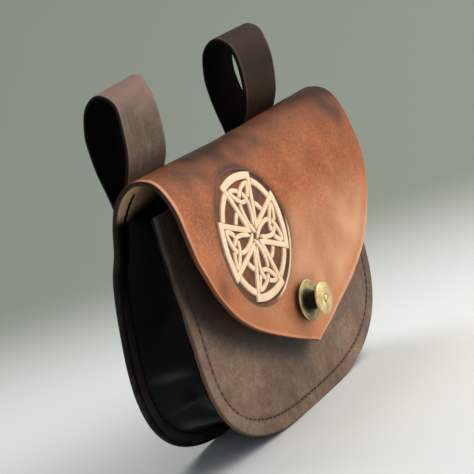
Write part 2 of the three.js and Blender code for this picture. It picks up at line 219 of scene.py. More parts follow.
def nearestRim(points):
    tree = kdtree.KDTree(len(points))
    for i, p in enumerate(points):
        tree.insert((p[0], p[1], 0), i)
    tree.balance()
    return lambda a, b: tree.find((a, b, 0))[2]


# a strip of leather from a flat grid: two faces joined round their rim, with rounded edges
def leatherSheet(name, columns, rows, flat, rimGap, place, tintNames, tint, roundEdge, refine=None):
    bm = bmesh.new()
    bmesh.ops.create_grid(bm, x_segments=columns - 1, y_segments=rows - 1, size=1.0)
    for v in bm.verts:
        column = round((v.co.x + 1) / 2 * (columns - 1))
        row = round((v.co.y + 1) / 2 * (rows - 1))
        v.co = Vector((*flat(column, row), 0.0))
    upper = set(bm.verts)
    bmesh.ops.duplicate(bm, geom=bm.verts[:] + bm.edges[:] + bm.faces[:])
    for v in bm.verts:
        if v not in upper:
            v.co.z = -1.0
    bmesh.ops.bridge_loops(bm, edges=[e for e in bm.edges if e.is_boundary])
    if refine:
        refine(bm)
    layers = bm.verts.layers.float
    rimKey, fleshKey, *tintKeys = [layers.new(key) for key in ("rimShade", "flesh", *tintNames)]
    for v in bm.verts:
        a, b, inside = v.co.x, v.co.y, v.co.z < -0.5
        gap = rimGap(a, b)
        bulge = lerp(cutEdge["left"], 1, math.sqrt(1 - (1 - clamp(gap / roundEdge)) ** 2))
        v[rimKey] = fade(*cutEdge["shade"], gap)
        v[fleshKey] = 1.0 if inside else 0.0
        for key, value in zip(tintKeys, tint(a, b, inside)):
            v[key] = value
        v.co = place(a, b, 0.5 + (0.5 if inside else -0.5) * bulge)
        v.co.z = max(v.co.z, 0.0)  # leather lies flat on the floor
    for face in bm.faces:
        face.material_index = 1 if all(v[fleshKey] > 0.5 for v in face.verts) else 0
    bmesh.ops.recalc_face_normals(bm, faces=bm.faces[:])
    if bm.calc_volume(signed=True) < 0:  # a thin bent sheet can come out inside out
        bmesh.ops.reverse_faces(bm, faces=bm.faces[:])
    return makeObject(bm, name, cutEdge["crease"])


# spins an outline about its axis, into a ring where it is closed
def spinOutline(bm, verts, steps, closed):
    pairs = list(zip(verts, verts[1:])) + ([(verts[-1], verts[0])] if closed else [])
    edges = [bm.edges.new(pair) for pair in pairs]
    bmesh.ops.spin(bm, geom=verts + edges, cent=(0, 0, 0), axis=(0, 0, 1), angle=math.tau, steps=steps,
                   use_merge=True)
    bmesh.ops.remove_doubles(bm, verts=bm.verts[:], dist=0.0005)


def ripple(a, b, size, seed):
    return noise.noise(Vector((a / size, b / size, seed)))


# unevenness of soft leather from waves of (height, size, seed)
def sway(a, b, waves):
    return sum(height * ripple(a, b, size, seed) for height, size, seed in waves)


def finishPiece(piece, materials, nodes=(), body="bag"):
    for material in materials:
        piece.data.materials.append(material)
    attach(piece, body)
    if nodes:
        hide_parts(*nodes)


# small node helpers for the finishes

def srgb(red, green, blue):
    def flat(value):
        value /= 255
        return value / 12.92 if value <= 0.04045 else ((value + 0.055) / 1.055) ** 2.4
    return (flat(red), flat(green), flat(blue), 1.0)


def feed(tree, socket, value):
    if isinstance(value, bpy.types.NodeSocket):
        tree.links.new(value, socket)
    else:
        socket.default_value = value


def addNode(tree, kind, settings=None, **sockets):
    made = tree.nodes.new(kind)
    for key, value in (settings or {}).items():
        setattr(made, key, value)
    for key, value in sockets.items():
        feed(tree, made.inputs[key.replace("_", " ")], value)
    return made


def mixColors(tree, factor, first, second, blend="MIX"):
    made = addNode(tree, "ShaderNodeMix", {"data_type": "RGBA", "blend_type": blend})
    for place, value in ((0, factor), (6, first), (7, second)):  # a color mix has its colors there
        feed(tree, made.inputs[place], srgb(*value) if isinstance(value, tuple) else value)
    return made.outputs[2]


def noiseFac(tree, coords, scale, detail, rough, warp=0.0):
    made = addNode(tree, "ShaderNodeTexNoise", None, Vector=coords, Scale=scale, Detail=detail,
                   Roughness=rough, Distortion=warp)
    return made.outputs["Fac"]


def ranged(tree, value, low, high, toLow=0.0, toHigh=1.0):
    made = addNode(tree, "ShaderNodeMapRange", {"interpolation_type": "SMOOTHSTEP"},
                   Value=value, From_Min=low, From_Max=high, To_Min=toLow, To_Max=toHigh)
    return made.outputs[0]


def mathNode(tree, kind, first, second):
    made = addNode(tree, "ShaderNodeMath", {"operation": kind})
    feed(tree, made.inputs[0], first)
    feed(tree, made.inputs[1], second)
    return made.outputs[0]


def colorRamp(tree, value, stops):
    made = addNode(tree, "ShaderNodeValToRGB", None, Fac=value)
    ramp, stops = made.color_ramp, list(stops)
    while len(ramp.elements) < len(stops):
        ramp.elements.new(0.5)
    for element, (place, color) in zip(ramp.elements, stops):
        element.position = place
        element.color = srgb(*color)
    return made.outputs["Color"]


def attributeFac(tree, name):
    return addNode(tree, "ShaderNodeAttribute", {"attribute_name": name}).outputs["Fac"]


def setBump(tree, shader, height, strength, depth):
    bump = addNode(tree, "ShaderNodeBump", None, Height=height, Strength=strength, Distance=depth)
    feed(tree, shader.inputs["Normal"], bump.outputs[0])


def newFinish(name):
    material = bpy.data.materials.new(name)
    material.use_nodes = True
    tree = material.node_tree
    coords = addNode(tree, "ShaderNodeTexCoord").outputs["Object"]
    return material, tree, tree.nodes["Principled BSDF"], coords


# what every leather shares: detail, roughness and warp of its noises, and the ranges they are used in
grain = {
    "blotch": (6.0, 0.62, 0.6), "speckle": (5.0, 0.7), "streak": (7.0, 0.7, 0.4), "pores": (6.0, 0.65),
    "patch": (75.0, 3.0, 0.6), "patchRange": (0.46, 0.6), "shadeRange": (0.3, 0.7),
    "roughRange": (0.25, 0.75), "rimRange": (0.35, 0.65), "poreScale": 0.45, "cellShare": 0.6,
    "bumpDepth": 0.0003,
}


# one leather finish: blotches, speckle, scuffs, tints, cut edge and grain
def leatherFinish(name, look):
    material, tree, shader, coords = newFinish(name)
    blotch = noiseFac(tree, coords, look["blotchScale"], *grain["blotch"])
    color = colorRamp(tree, blotch, look["blotchColors"])
    for scale, amount in look["speckles"]:
        speckle = noiseFac(tree, coords, scale, *grain["speckle"])
        shade = ranged(tree, speckle, *grain["shadeRange"], 1 - amount, 1 + amount)
        shadeColor = addNode(tree, "ShaderNodeCombineColor", None, Red=shade, Green=shade, Blue=shade)
        color = mixColors(tree, 1.0, color, shadeColor.outputs[0], "MULTIPLY")
    rough = ranged(tree, speckle, *grain["roughRange"], *look["rough"])
    for scuff in look.get("scuffs", ()):
        drawn = addNode(tree, "ShaderNodeMapping", None, Vector=coords, Scale=scuff["stretch"],
                        Rotation=scuff["turn"])
        streak = noiseFac(tree, drawn.outputs[0], scuff["scale"], *grain["streak"])
        worn = ranged(tree, streak, scuff["from"], scuff["to"], 0.0, scuff["amount"])
        color = mixColors(tree, worn, color, scuff["color"])
        rough = mathNode(tree, "ADD", rough, mathNode(tree, "MULTIPLY", worn, scuff["rougher"]))
    for key, tone in look.get("tints", ()):
        fac = attributeFac(tree, key)
        if "tintBreak" in look:  # blotches tear the soft border of a tint
            torn = ranged(tree, blotch, *grain["shadeRange"], -look["tintBreak"], look["tintBreak"])
            border = mathNode(tree, "MULTIPLY", fac, mathNode(tree, "SUBTRACT", 1.0, fac))
            border = mathNode(tree, "MULTIPLY", border, 4.0)
            fac = mathNode(tree, "ADD", fac, mathNode(tree, "MULTIPLY", torn, border))
        color = mixColors(tree, fac, color, tone)
    if "rim" in look:
        edge = colorRamp(tree, blotch, zip(grain["rimRange"], look["rim"]))
        color = mixColors(tree, attributeFac(tree, "rimShade"), color, edge)
    for key, tone, patch in look.get("overTints", ()):
        spread = noiseFac(tree, coords, *grain["patch"])
        tone = mixColors(tree, ranged(tree, spread, *grain["patchRange"]), tone, patch)
        color = mixColors(tree, attributeFac(tree, key), color, tone)
    feed(tree, shader.inputs["Base Color"], color)
    feed(tree, shader.inputs["Roughness"], rough)
    cells = addNode(tree, "ShaderNodeTexVoronoi", {"feature": "F1"}, Vector=coords,
                    Scale=look["grainScale"], Randomness=1.0)
    pores = noiseFac(tree, coords, look["grainScale"] * grain["poreScale"], *grain["pores"])
    height = mathNode(tree, "MULTIPLY", cells.outputs["Distance"], grain["cellShare"])
    height = mathNode(tree, "ADD", height, pores)
    setBump(tree, shader, height, look["bump"], look.get("bumpDepth", grain["bumpDepth"]))
    shader.inputs["Specular IOR Level"].default_value = look["specular"]
    return material


# back, fold and flap: one piece of cognac leather

flap = {
    "backRows": (-0.7, 15, 30, 45, 60, 80, 92, 102),
    # over the fold and down the front, forward and up
    "profile": ((18.0, 112.5), (23.6, 122.4), (33.2, 128.2), (43.2, 126.2), (49.6, 116.0), (52.2, 101.6),
                (53.3, 84.2), (52.7, 62), (52.4, 46), (52.4, 30.1)),
    # height, half width and sideways drift of the flap down to its tip
    "outline": ((101.6, 88.1, 0), (92, 87.4, 0), (84.2, 84.7, 0), (76, 81, 0), (68, 75.4, 0),
                (60.2, 68.4, 0.2), (52, 57, 0.2), (44, 40, -1), (38, 23.6, -4), (33, 10, -5.6),
                (30.8, 3, -7), (30.1, 1.2, -7.5)),
    "edgeColumns": (0, 0.25, 0.6, 1.1, 1.8, 3.0), "innerColumns": 56, "squeeze": 2, "roundEdge": 0.9,
    "cornerRows": 34, "rowStep": 1.6, "evenTo": 4.0, "lastRows": (1.6, 1.0, 0.5, 0.2, 0.0),
    "rimSplit": 4, "footSplit": 40,
    "medallion": {"across": -37.3, "fromTip": 57.5, "border": 29.8, "depth": 0.9, "wall": 0.4,
                  "margin": 3, "cuts": 3},
    # the fold stands higher towards its right end
    "shoulder": {"lift": 2.5, "from": -20, "over": 105, "power": 1.2, "rise": (112, 132), "fall": (138, 168)},
    "waves": ((0.5, 42, 3.1), (0.18, 15, 8.4)), "calmEdge": 25, "calmBorder": (-4, 16),
}
# antique wash and wear of the flap, and a painted sheen on it, in millimetres across, along from the foot of
# the back, or from a rim
wash = {
    "thin": 0.04,
    # strong over the fold, less at its left end and behind it, and on the right shoulder
    "fold": 0.8, "foldCrest": 132, "foldFront": (139, 168), "foldBehind": (0, 50), "behindLoss": 0.6,
    "foldLeft": (-86, -20), "leftShare": 0.6,
    "shoulder": 0.3, "shoulderAcross": (25, 88), "shoulderAlong": (148, 186),
    "clouds": ((0.14, 21, 1.7),), "streaks": ((0.1, 9, 9.1),), "streakSlant": 0.6, "streakStretch": 0.5,
    # darker smudges: across, along, half sizes, strength
    "smudges": ((-42, 150, 36, 14, 0.34), (-70, 168, 11, 13, 0.1), (76, 156, 20, 24, 0.26),
                (-76, 206, 10, 13, 0.34), (-14, 222, 12, 5, 0.12), (85, 196, 5, 22, 0.22),
                (4, 160, 18, 10, 0.16), (40, 172, 24, 10, 0.1)),
    "smudgeBase": 0.8, "smudgeTear": ((1.3, 10, 4.7),),
    # burnt round the medallion, more on the side that faces up and right
    "ground": (-0.2, 0.4), "burn": (0.12, 0.42), "burnFacing": (-0.3, 0.8), "burnReach": (0.4, 4.5),
    # pale low down, more to the right: wear with a painted sheen over it; and warm along the lower edge
    "sheenShare": 0.35, "sheenAcross": (-70, 45), "sheenAlong": (178, 216),
    "sheenBase": 0.85, "sheenTear": ((0.4, 12, 6.6),),
    "warm": 0.6, "warmEdge": (1.5, 11), "warmAlong": (166, 200),
}
# dark edges, painted shade and a painted highlight of the same leather, in the same measures
edging = {
    "backFade": (-1, 4), "backWidth": (4.5, 7.5),  # black rim of the back, up to its seam's end
    # little light reaches the flesh side below the fold
    "brimRise": 4, "brimInset": (12, 40), "brimFade": (-1, 6), "shadeInset": (6, 14),
    # dark cut edge over the fold, deepened with painted shade, and a painted highlight along the rounded edge
    # further down
    "arch": 0.85, "archAlong": (40, 90), "archInside": (0.5, 1.1), "archOutside": (0.2, 0.5),
    "rightAcross": (-10, 40), "rightAlong": (196, 214),
    "crown": 0.85, "crownAcross": (-60, -20), "crownRise": (20, 34), "crownFall": (50, 80),
    "glowAlong": (40, 70), "glowFrom": (0.25, 0.5), "glowTo": (0.9, 1.6), "glowWiden": (1.0, 1.2),
    "bright": (0.6, 0.95), "dullAcross": (20, 60), "dullAlong": (182, 206),
}
bodyLine = bendLine([backSpot(up, 0) for up in flap["backRows"]] + [Vector(p) for p in flap["profile"]])
frontStart = bodyLine["length"] - (flap["outline"][0][0] - flap["outline"][-1][0])
medallionAlong = bodyLine["length"] - flap["medallion"]["fromTip"]


def onBody(across, along, inward):
    spot, ahead = lineAt(bodyLine, along)
    outward = Vector((-ahead.y, ahead.x))
    spot = spot - outward * inward
    return rowSpot(across, spot.x, spot.y)


def flapHalf(along):
    if along <= bag["seamTop"]:
        return rimHalfAt(along, bag["backTop"]), 0.0
    if along < frontStart:
        share = (along - bag["seamTop"]) / (frontStart - bag["seamTop"])
        return lerp(bag["backTop"], flap["outline"][0][1], share), 0.0
    height = flap["outline"][-1][0] + bodyLine["length"] - along
    return tableAt(flap["outline"], height, 1), tableAt(flap["outline"], height, 2)


def medallionRadius(across, along):
    return math.hypot(across - flap["medallion"]["across"], along - medallionAlong)


def washTint(across, along, gap):
    crest = 1 - wash["behindLoss"] * ease(*wash["foldBehind"], wash["foldCrest"] - along)
    if along > wash["foldCrest"]:
        crest = fade(*wash["foldFront"], along)
    crest *= lerp(wash["leftShare"], 1.0, ease(*wash["foldLeft"], across))
    shoulder = ease(*wash["shoulderAcross"], across) * fade(*wash["shoulderAlong"], along)
    cloud = sway(across, along, wash["clouds"])
    cloud += sway(across + wash["streakSlant"] * along, along * wash["streakStretch"], wash["streaks"])
    smudge = 0.0
    for middle, spot, wide, tall, strength in wash["smudges"]:
        smudge += strength * hump((across - middle, wide), (along - spot, tall))
    smudge *= wash["smudgeBase"] + sway(across, along, wash["smudgeTear"])
    aged = wash["thin"] + wash["fold"] * crest + wash["shoulder"] * shoulder + cloud + smudge
    rubbedAndSheen = lerp(wash["sheenShare"], 1.0, ease(*wash["sheenAcross"], across))
    rubbedAndSheen *= ease(*wash["sheenAlong"], along)
    rubbedAndSheen *= wash["sheenBase"] + sway(across, along, wash["sheenTear"])
    warm = wash["warm"] * fade(*wash["warmEdge"], gap) * ease(*wash["warmAlong"], along)
    return aged, clamp(rubbedAndSheen), warm


def carvedTint(across, along, inside):
    spot = flap["medallion"]
    radius = medallionRadius(across, along)
    ring = radius - spot["border"]
    ground = 0.0 if inside else fade(*wash["ground"], ring)
    facing = (across - spot["across"] + medallionAlong - along) / max(1.4 * radius, 1)
    burn = lerp(*wash["burn"], ease(*wash["burnFacing"], facing))
    return ground, burn * fade(*wash["burnReach"], ring) * (1 - ground)


def edgeTint(across, along, gap, inside):
    look = edging
    seamEnd, overFold = bag["backSeamTop"], along - bag["seamTop"]
    low, high = look["backFade"]
    dark = fade(seamEnd + low, seamEnd + high, along) * fade(*look["backWidth"], gap)
    # painted shade on the flesh side below the fold
    if inside:
        brim = seamEnd + look["brimRise"] * ease(*look["brimInset"], gap)
        low, high = look["brimFade"]
        dark = max(dark, ease(*look["shadeInset"], gap) * fade(brim + low, brim + high, along))
    # dark cut edge over the fold, deepened with painted shade
    arch = fade(*look["archAlong"], overFold) * fade(*look["archInside" if inside else "archOutside"], gap)
    right = ease(*look["rightAcross"], across) * ease(*look["rightAlong"], along)
    crown = fade(*look["crownAcross"], across) * ease(*look["crownRise"], overFold)
    crown *= fade(*look["crownFall"], overFold)
    # painted highlight along the flap's rounded edge, wider at its lower right and at the left end of the
    # fold
    start, stop = (edge + widen * (right + crown) for edge, widen in zip(look["glowTo"], look["glowWiden"]))
    glow = max(ease(*look["glowAlong"], overFold), crown) * ease(*look["glowFrom"], gap)
    glow *= fade(start, stop, gap)
    bright = lerp(*look["bright"], right)
    bright *= lerp(1, ease(*look["dullAlong"], along), ease(*look["dullAcross"], across))
    glow *= 0 if inside else max(bright, look["crown"] * crown)
    return max(dark, look["arch"] * arch), glow


def makeBody(material, lining):
    heights = sheetRows(flap, 0, bodyLine["length"])
    columns = columnCount(flap)
    spot, shoulder = flap["medallion"], flap["shoulder"]

    def flat(column, row):
        half, drift = flapHalf(heights[row])
        squeeze = min(1, half / (flap["squeeze"] * flap["edgeColumns"][-1]))
        return columnAcross(column, flap, half, squeeze) + drift, heights[row]

    def between(first, last, steps):
        return [[lerp(a, b, i / steps) for a, b in zip(first, last)] for i in range(steps + 1)]

    rim = between(flat(0, 0), flat(columns - 1, 0), flap["footSplit"])
    for column in (0, columns - 1):
        edge = [flat(column, row) for row in range(len(heights))]
        for first, last in zip(edge, edge[1:]):
            rim += between(first, last, flap["rimSplit"])
    rimGap = nearestRim(rim)

    def place(across, along, share):
        inward = share * bag["bodyLeather"]
        radius = medallionRadius(across, along)
        lift = shoulder["lift"] * clamp((across - shoulder["from"]) / shoulder["over"]) ** shoulder["power"]
        inward -= lift * ease(*shoulder["rise"], along) * fade(*shoulder["fall"], along)
        if along > bag["seamTop"]:
            calm = clamp(rimGap(across, along) / flap["calmEdge"])
            calm *= ease(*flap["calmBorder"], radius - spot["border"])
            inward -= sway(across, along, flap["waves"]) * calm
        if share < 0.5:
            inward += spot["depth"] * fade(-spot["wall"], spot["wall"], radius - spot["border"])
        return onBody(across, along, inward)

    def refine(bm):
        reach = spot["border"] + spot["margin"]
        near = [e for e in bm.edges if all(
            v.co.z > -0.5 and medallionRadius(v.co.x, v.co.y) < reach for v in e.verts)]
        bmesh.ops.subdivide_edges(bm, edges=near, cuts=spot["cuts"], use_grid_fill=True)

    def tint(across, along, inside):
        gap = rimGap(across, along)
        aged, rubbedAndSheen, warm = washTint(across, along, gap)
        ground, burn = carvedTint(across, along, inside)
        dark, glow = edgeTint(across, along, gap, inside)
        return clamp(aged + burn), rubbedAndSheen, warm, ground, dark, glow

    piece = leatherSheet("cognac_body", columns, len(heights), flat, rimGap, place,
                         ("aged", "rubbedAndSheen", "warm", "ground", "rimDarkAndShade", "rimGlow"), tint,
                         flap["roundEdge"], refine)
    finishPiece(piece, (material, lining), ("back_and_flap",))


# carved strapwork of the medallion, left standing in undyed leather

strapwork = {
    # arm ends, arm sides and the two rings, measured from the hub
    "endRadius": 26.05, "endFlare": 0.9, "endHalf": math.radians(28.4), "endBand": 3.3, "endLift": 0.03,
    "sideFar": (22.9, 10.95), "sideNear": 3.15, "sideBand": 2.3, "sideLift": 0.015,
    "rings": ((24.7, 2.8, math.radians(29.3)), (14.9, 2.0, math.radians(34.8))),
    "arcSteps": 12, "sideSteps": 6,
    # one knot: three strands between the tips near the hub and in the arm's corners, out and sideways
    "strand": 1.95, "underGap": 0.45, "strandSteps": 14,
    "leg": ((1.2, -1.6), (3.1, 0.1), (5.6, 1.7), (9.6, 3.0), (13.6, 3.4), (17.2, 2.3), (19.8, -0.5),
            (21.5, -4.2), (22.3, -8.6)),
    "cross": ((22.3, -8.6), (18.6, -6.6), (15.9, -4.1), (15.0, -1.2), (15.4, 1.2), (17.0, 3.9),
              (19.3, 6.5), (22.3, 8.6)),
    "mirror": ((4.2, -1.3), (7.4, -2.6), (11.4, -3.5), (14.8, -3.6), (17.4, -2.3), (19.8, 0.6),
               (21.4, 4.2), (22.3, 8.6)),
    # where each strand dives under another one
    "under": {"leg": (16.4, 2.75), "cross": (15.5, -3.4), "mirror": (19.4, 0.05)},
    "mitre": 0.38, "blunt": 0.62, "tipShare": 0.3, "tipLength": 2.2,
    "top": 0.06, "rooted": 0.2, "bevel": 0.2, "lean": 0.065,  # the upper arm leans a little
    # border wall as radius and height over the flap's face, with a painted highlight on its lower right lip
    "border": ((28.8, -1.1), (28.9, -0.86), (29.3, -0.4), (29.55, -0.04), (29.75, 0.05), (30.15, 0.06),
               (30.5, 0.01), (30.5, -0.3)),
    "borderSteps": 180, "lip": (29.4, 30.3), "highlightTurn": math.radians(42), "highlightFade": (0.7, 0.92),
}


def turnSpot(radius, angle):
    return Vector((radius * math.cos(angle), radius * math.sin(angle), 0))


def addRibbon(bm, path, width, lift=0.0, tips=()):
    look = strapwork
    before = set(bm.verts)
    bmesh.ops.create_grid(bm, x_segments=len(path) - 1, y_segments=1, size=1.0)
    for v in [v for v in bm.verts if v not in before]:
        spot = round((v.co.x + 1) / 2 * (len(path) - 1))
        here, last, coming = path[spot], path[max(spot - 1, 0)], path[min(spot + 1, len(path) - 1)]
        steps = [d for d in (here - last, coming - here) if d.length > 0]
        sides = [Vector((-d.y, d.x, 0)).normalized() for d in steps]
        side = sum(sides, Vector()).normalized()
        reach = width / 2 / max(side.dot(sides[0]), look["mitre"])  # mitre where the path turns
        if steps[0].cross(steps[-1]).z * (1 if v.co.y > 0 else -1) < 0:
            reach = min(reach, width * look["blunt"])  # blunt on the outside of a sharp turn
        for tip in tips:
            reach *= lerp(look["tipShare"], 1, clamp((here - path[tip]).length / look["tipLength"]))
        v.co = here + side * (reach if v.co.y > 0 else -reach) + Vector((0, 0, lift))


# a strand from tip to tip, cut where it dives under another one
def addStrand(bm, name, turn):
    look = strapwork
    path = bendLine([Vector((*p, 0)) for p in look[name]], look["strandSteps"])["samples"]
    spot = Vector((*look["under"][name], 0))
    cut = look["strand"] / 2 + look["underGap"]
    hidden = [i for i, p in enumerate(path) if (p - spot).length < cut]
    for part, tip in ((path[:hidden[0]], 0), (path[hidden[-1] + 1:], -1)):
        addRibbon(bm, [turn @ p for p in part], look["strand"], 0.0, (tip,))


def makeStrapwork(material, wallMaterial):
    look = strapwork
    spot = flap["medallion"]
    arc, straight = look["arcSteps"], look["sideSteps"]
    far, near = Vector((*look["sideFar"], 0)), Vector((look["sideNear"], look["sideNear"], 0))
    other = Vector((far.y, far.x, 0))
    side = [far.lerp(near, i / straight) for i in range(straight)] + [near]
    side += [near.lerp(other, i / straight) for i in range(1, straight + 1)]
    bm = bmesh.new()
    for quarter in range(4):
        angle = quarter * math.pi / 2
        turn = Matrix.Rotation(angle, 4, "Z")
        end = []
        for i in range(-arc, arc + 1):
            radius = look["endRadius"] + look["endFlare"] * (i / arc) ** 2
            end.append(turnSpot(radius, angle + look["endHalf"] * i / arc))
        addRibbon(bm, end, look["endBand"], look["endLift"])
        addRibbon(bm, [turn @ p for p in side], look["sideBand"], look["sideLift"])
        for radius, width, clear in look["rings"]:
            turns = [angle + lerp(clear, math.pi / 2 - clear, i / arc) for i in range(arc + 1)]
            addRibbon(bm, [turnSpot(radius, a) for a in turns], width)
        for name in ("leg", "cross", "mirror"):
            addStrand(bm, name, turn)
    bm.normal_update()
    bmesh.ops.reverse_faces(bm, faces=[f for f in bm.faces if f.normal.z < 0])
    grown = bmesh.ops.extrude_face_region(bm, geom=bm.faces[:])["geom"]
    lifted = [v for v in grown if isinstance(v, bmesh.types.BMVert)]
    tall = spot["depth"] + look["rooted"]
    bmesh.ops.translate(bm, verts=lifted, vec=(0, 0, tall))
    bm.normal_update()
    bmesh.ops.recalc_face_normals(bm, faces=bm.faces[:])
    edges = [e for e in bm.edges if len(e.link_faces) == 2 and e.calc_face_angle(0) > 1.0
             and all(v.co.z > spot["depth"] / 2 for v in e.verts)]
    bmesh.ops.bevel(bm, geom=edges, offset=look["bevel"], offset_type="OFFSET", segments=2, profile=0.5,
                    affect="EDGES", material=-1, clamp_overlap=True)
    for v in bm.verts:
        level = tall + look["top"] - v.co.z
        v.co.x += look["lean"] * max(v.co.y, 0)
        v.co = onBody(spot["across"] + v.co.x, medallionAlong - v.co.y, level)
    finishPiece(makeObject(bm, "carved_strapwork", 35), (material,))
    bm = bmesh.new()
    verts = [bm.verts.new((radius, 0, level)) for radius, level in look["border"]]
    spinOutline(bm, verts, look["borderSteps"], True)
    lipKey = bm.verts.layers.float.new("lip")
    for v in bm.verts:
        # painted highlight: the lip is left pale on the side facing lower right and darker elsewhere
        lit = math.cos(math.atan2(v.co.y, v.co.x) + look["highlightTurn"])
        onLip = look["lip"][0] < math.hypot(v.co.x, v.co.y) < look["lip"][1]
        v[lipKey] = fade(*look["highlightFade"], lit) if onLip else 1
        v.co = onBody(spot["across"] + v.co.x, medallionAlong - v.co.y, -v.co.z)
    bmesh.ops.recalc_face_normals(bm, faces=bm.faces[:])
    finishPiece(makeObject(bm, "medallion_border", 60), (wallMaterial,))


# dark brown front panel

panel = {
    "swell": 3.6, "sewnMargin": 9.5, "swellFade": 60.0, "top": 112.8,
    "edgeColumns": (0, 0.25, 0.6, 1.1, 1.8, 3.0, 5.0, 6.2, 7.0, 7.8, 9.0), "innerColumns": 52,
    "squeeze": 1.6, "roundEdge": 1.1,
    "cornerRows": 36, "rowStep": 1.8, "evenTo": 3.6, "lastRows": (1.8, 1.1, 0.6, 0.25, 0.0),
    # the rim goes on upwards past its seam: start, step and count
    "rimSteps": 600, "rimTop": (111.4, 0.3, 11), "flapSteps": 90,
    "waves": ((0.55, 38, 5.2), (0.2, 14, 2.2)), "calm": (8, 25),
    "seam": 7.0, "seamDepth": 0.4, "grooveHalf": 0.9, "seamShade": 0.5, "seamShadeHalf": 0.8,
    # painted shadow of the flap on the panel, set off to one side and down; the rim is also darker towards
    # the top
    "shadowStrength": 0.85, "shadowAside": 1.5, "shadowDrop": 1.5, "shadowFade": 9.0,
    "topDark": 0.8, "topDarkUp": (62, 106), "topDarkRim": (1.5, 4),
}
panelRim = []
for step in range(-panel["rimSteps"], panel["rimSteps"] + 1):
    panelRim.append(rimSpot(step / panel["rimSteps"], bag["frontTop"], bag["seamTop"]))
for step in range(panel["rimTop"][2]):
    sideTop = panel["rimTop"][0] + step * panel["rimTop"][1]
    panelRim += [(side * bag["frontTop"], sideTop) for side in (-1, 1)]
panelGap = nearestRim(panelRim)
flapTip = flap["outline"][-1][0]
flapEdge = []
for step in range(panel["flapSteps"]):
    edgeHalf, edgeDrift = flapHalf(bodyLine["length"] - step)
    flapEdge += [(edgeDrift + side * edgeHalf, flapTip + step) for side in (-1, 1)]
flapGap = nearestRim(flapEdge)


def panelSwell(across, up):
    edge = rimHalfAt(min(up + bag["footSink"], bag["cornerHeight"]), bag["frontTop"]) - panel["sewnMargin"]
    side = clamp((edge - abs(across)) / max(edge, 1))
    foot = clamp((up - panel["sewnMargin"]) / bag["cornerHeight"])
    top = clamp((panel["top"] - up) / panel["swellFade"])
    swell = panel["swell"]
    for share in (side, foot, top):
        swell *= math.sin(share * math.pi / 2)
    return swell


# painted shadow of the flap: full behind its shifted outline, fading out beside it
def flapShadowAt(across, up):
    across, up = across + panel["shadowAside"], up + panel["shadowDrop"]
    half, drift = flapHalf(bodyLine["length"] + flapTip - up)
    if up > flapTip and abs(across - drift) < half:
        return 1.0
    return fade(0, panel["shadowFade"], flapGap(across, up))


def panelFace(across, up):
    start, over = panel["calm"]
    calm = clamp((panelGap(across, up) - start) / over)
    return panelSwell(across, up) + calm * sway(across, up, panel["waves"])


def makePanel(material, lining):
    heights = sheetRows(panel, bag["footSink"], panel["top"])

    def flat(column, row):
        half = rimHalfAt(heights[row] + bag["footSink"], bag["frontTop"])
        squeeze = min(1, half / (panel["squeeze"] * panel["edgeColumns"][-1]))
        return columnAcross(column, panel, half, squeeze), heights[row]

    def rimGap(across, up):
        return min(panelGap(across, up), panel["top"] - up)

    def place(across, up, share):
        inward = share * bag["panelLeather"] - panelFace(across, up)
        if share < 0.5:
            inward += panel["seamDepth"] * hump((panelGap(across, up) - panel["seam"], panel["grooveHalf"]))
        return onFront(across, up, inward)

    def tint(across, up, inside):
        gap = panelGap(across, up)
        seam = panel["seamShade"] * hump((gap - panel["seam"], panel["seamShadeHalf"]))
        topDark = panel["topDark"] * ease(*panel["topDarkUp"], up) * fade(*panel["topDarkRim"], gap)
        return panel["shadowStrength"] * flapShadowAt(across, up), seam, topDark

    piece = leatherSheet("brown_front", columnCount(panel), len(heights), flat, rimGap, place,
                         ("flapShadow", "seamShade", "topDark"), tint, panel["roundEdge"])
    finishPiece(piece, (material, lining), ("front_panel",))


# soft black gusset between the panels

gussetCut = {
    "flange": 8.0, "inset": 1.6, "sag": 3.0, "sagPower": 0.8, "sideLength": 210, "roundEdge": 0.7,
    "stations": 241, "flangeColumns": 4, "webColumns": 30,
    # place along the seam, place across from front to back, half lengths, depth, slant
    "folds": ((-0.47, 0.3, 0.07, 0.3, 2.4, 0.0), (-0.36, 0.62, 0.05, 0.34, -1.5, 0.0),
              (-0.66, 0.5, 0.09, 0.4, 1.4, 0.0), (0.45, 0.34, 0.07, 0.3, 2.1, 0.0),
              (0.35, 0.6, 0.05, 0.34, -1.4, 0.0), (0.69, 0.5, 0.09, 0.4, 1.2, 0.0),
              (-0.56, 0.42, 0.022, 0.34, -1.3, 0.10), (-0.41, 0.26, 0.018, 0.2, 1.3, -0.06),
              (-0.27, 0.4, 0.02, 0.36, -0.9, 0.05), (-0.2, 0.7, 0.02, 0.3, 0.8, 0.0),
              (-0.8, 0.45, 0.03, 0.35, -0.8, 0.08), (0.55, 0.4, 0.022, 0.34, -1.2, -0.1),
              (0.41, 0.3, 0.018, 0.2, 1.2, 0.06), (0.25, 0.5, 0.02, 0.36, -0.9, -0.05),
              (0.8, 0.5, 0.03, 0.35, -0.8, -0.08)),
    # painted highlights on the folds, on both sides: along, across, half lengths, strength; a negative
    # strength paints shade into a fold
    "glints": ((0.69, 0.62, 0.014, 0.3, 0.6), (0.46, 0.29, 0.06, 0.1, 0.5), (0.35, 0.6, 0.016, 0.3, 0.8),
               (0.59, 0.42, 0.04, 0.16, -0.2)),
    "paintedSheen": 0.22, "ridgeSheen": 0.6, "ridgeHeight": 1.4, "sheenUp": (18, 62),
    "frontFlangeUp": (55, 95), "backFlange": 0.7, "backFlangeUp": (50, 95),
}


def foldDepth(along, across):
    depth = 0.0
    for spot, middle, longHalf, wideHalf, deep, slant in gussetCut["folds"]:
        aside = across - middle
        depth += deep * hump((along - spot - slant * aside, longHalf), (aside, wideHalf))
    return depth


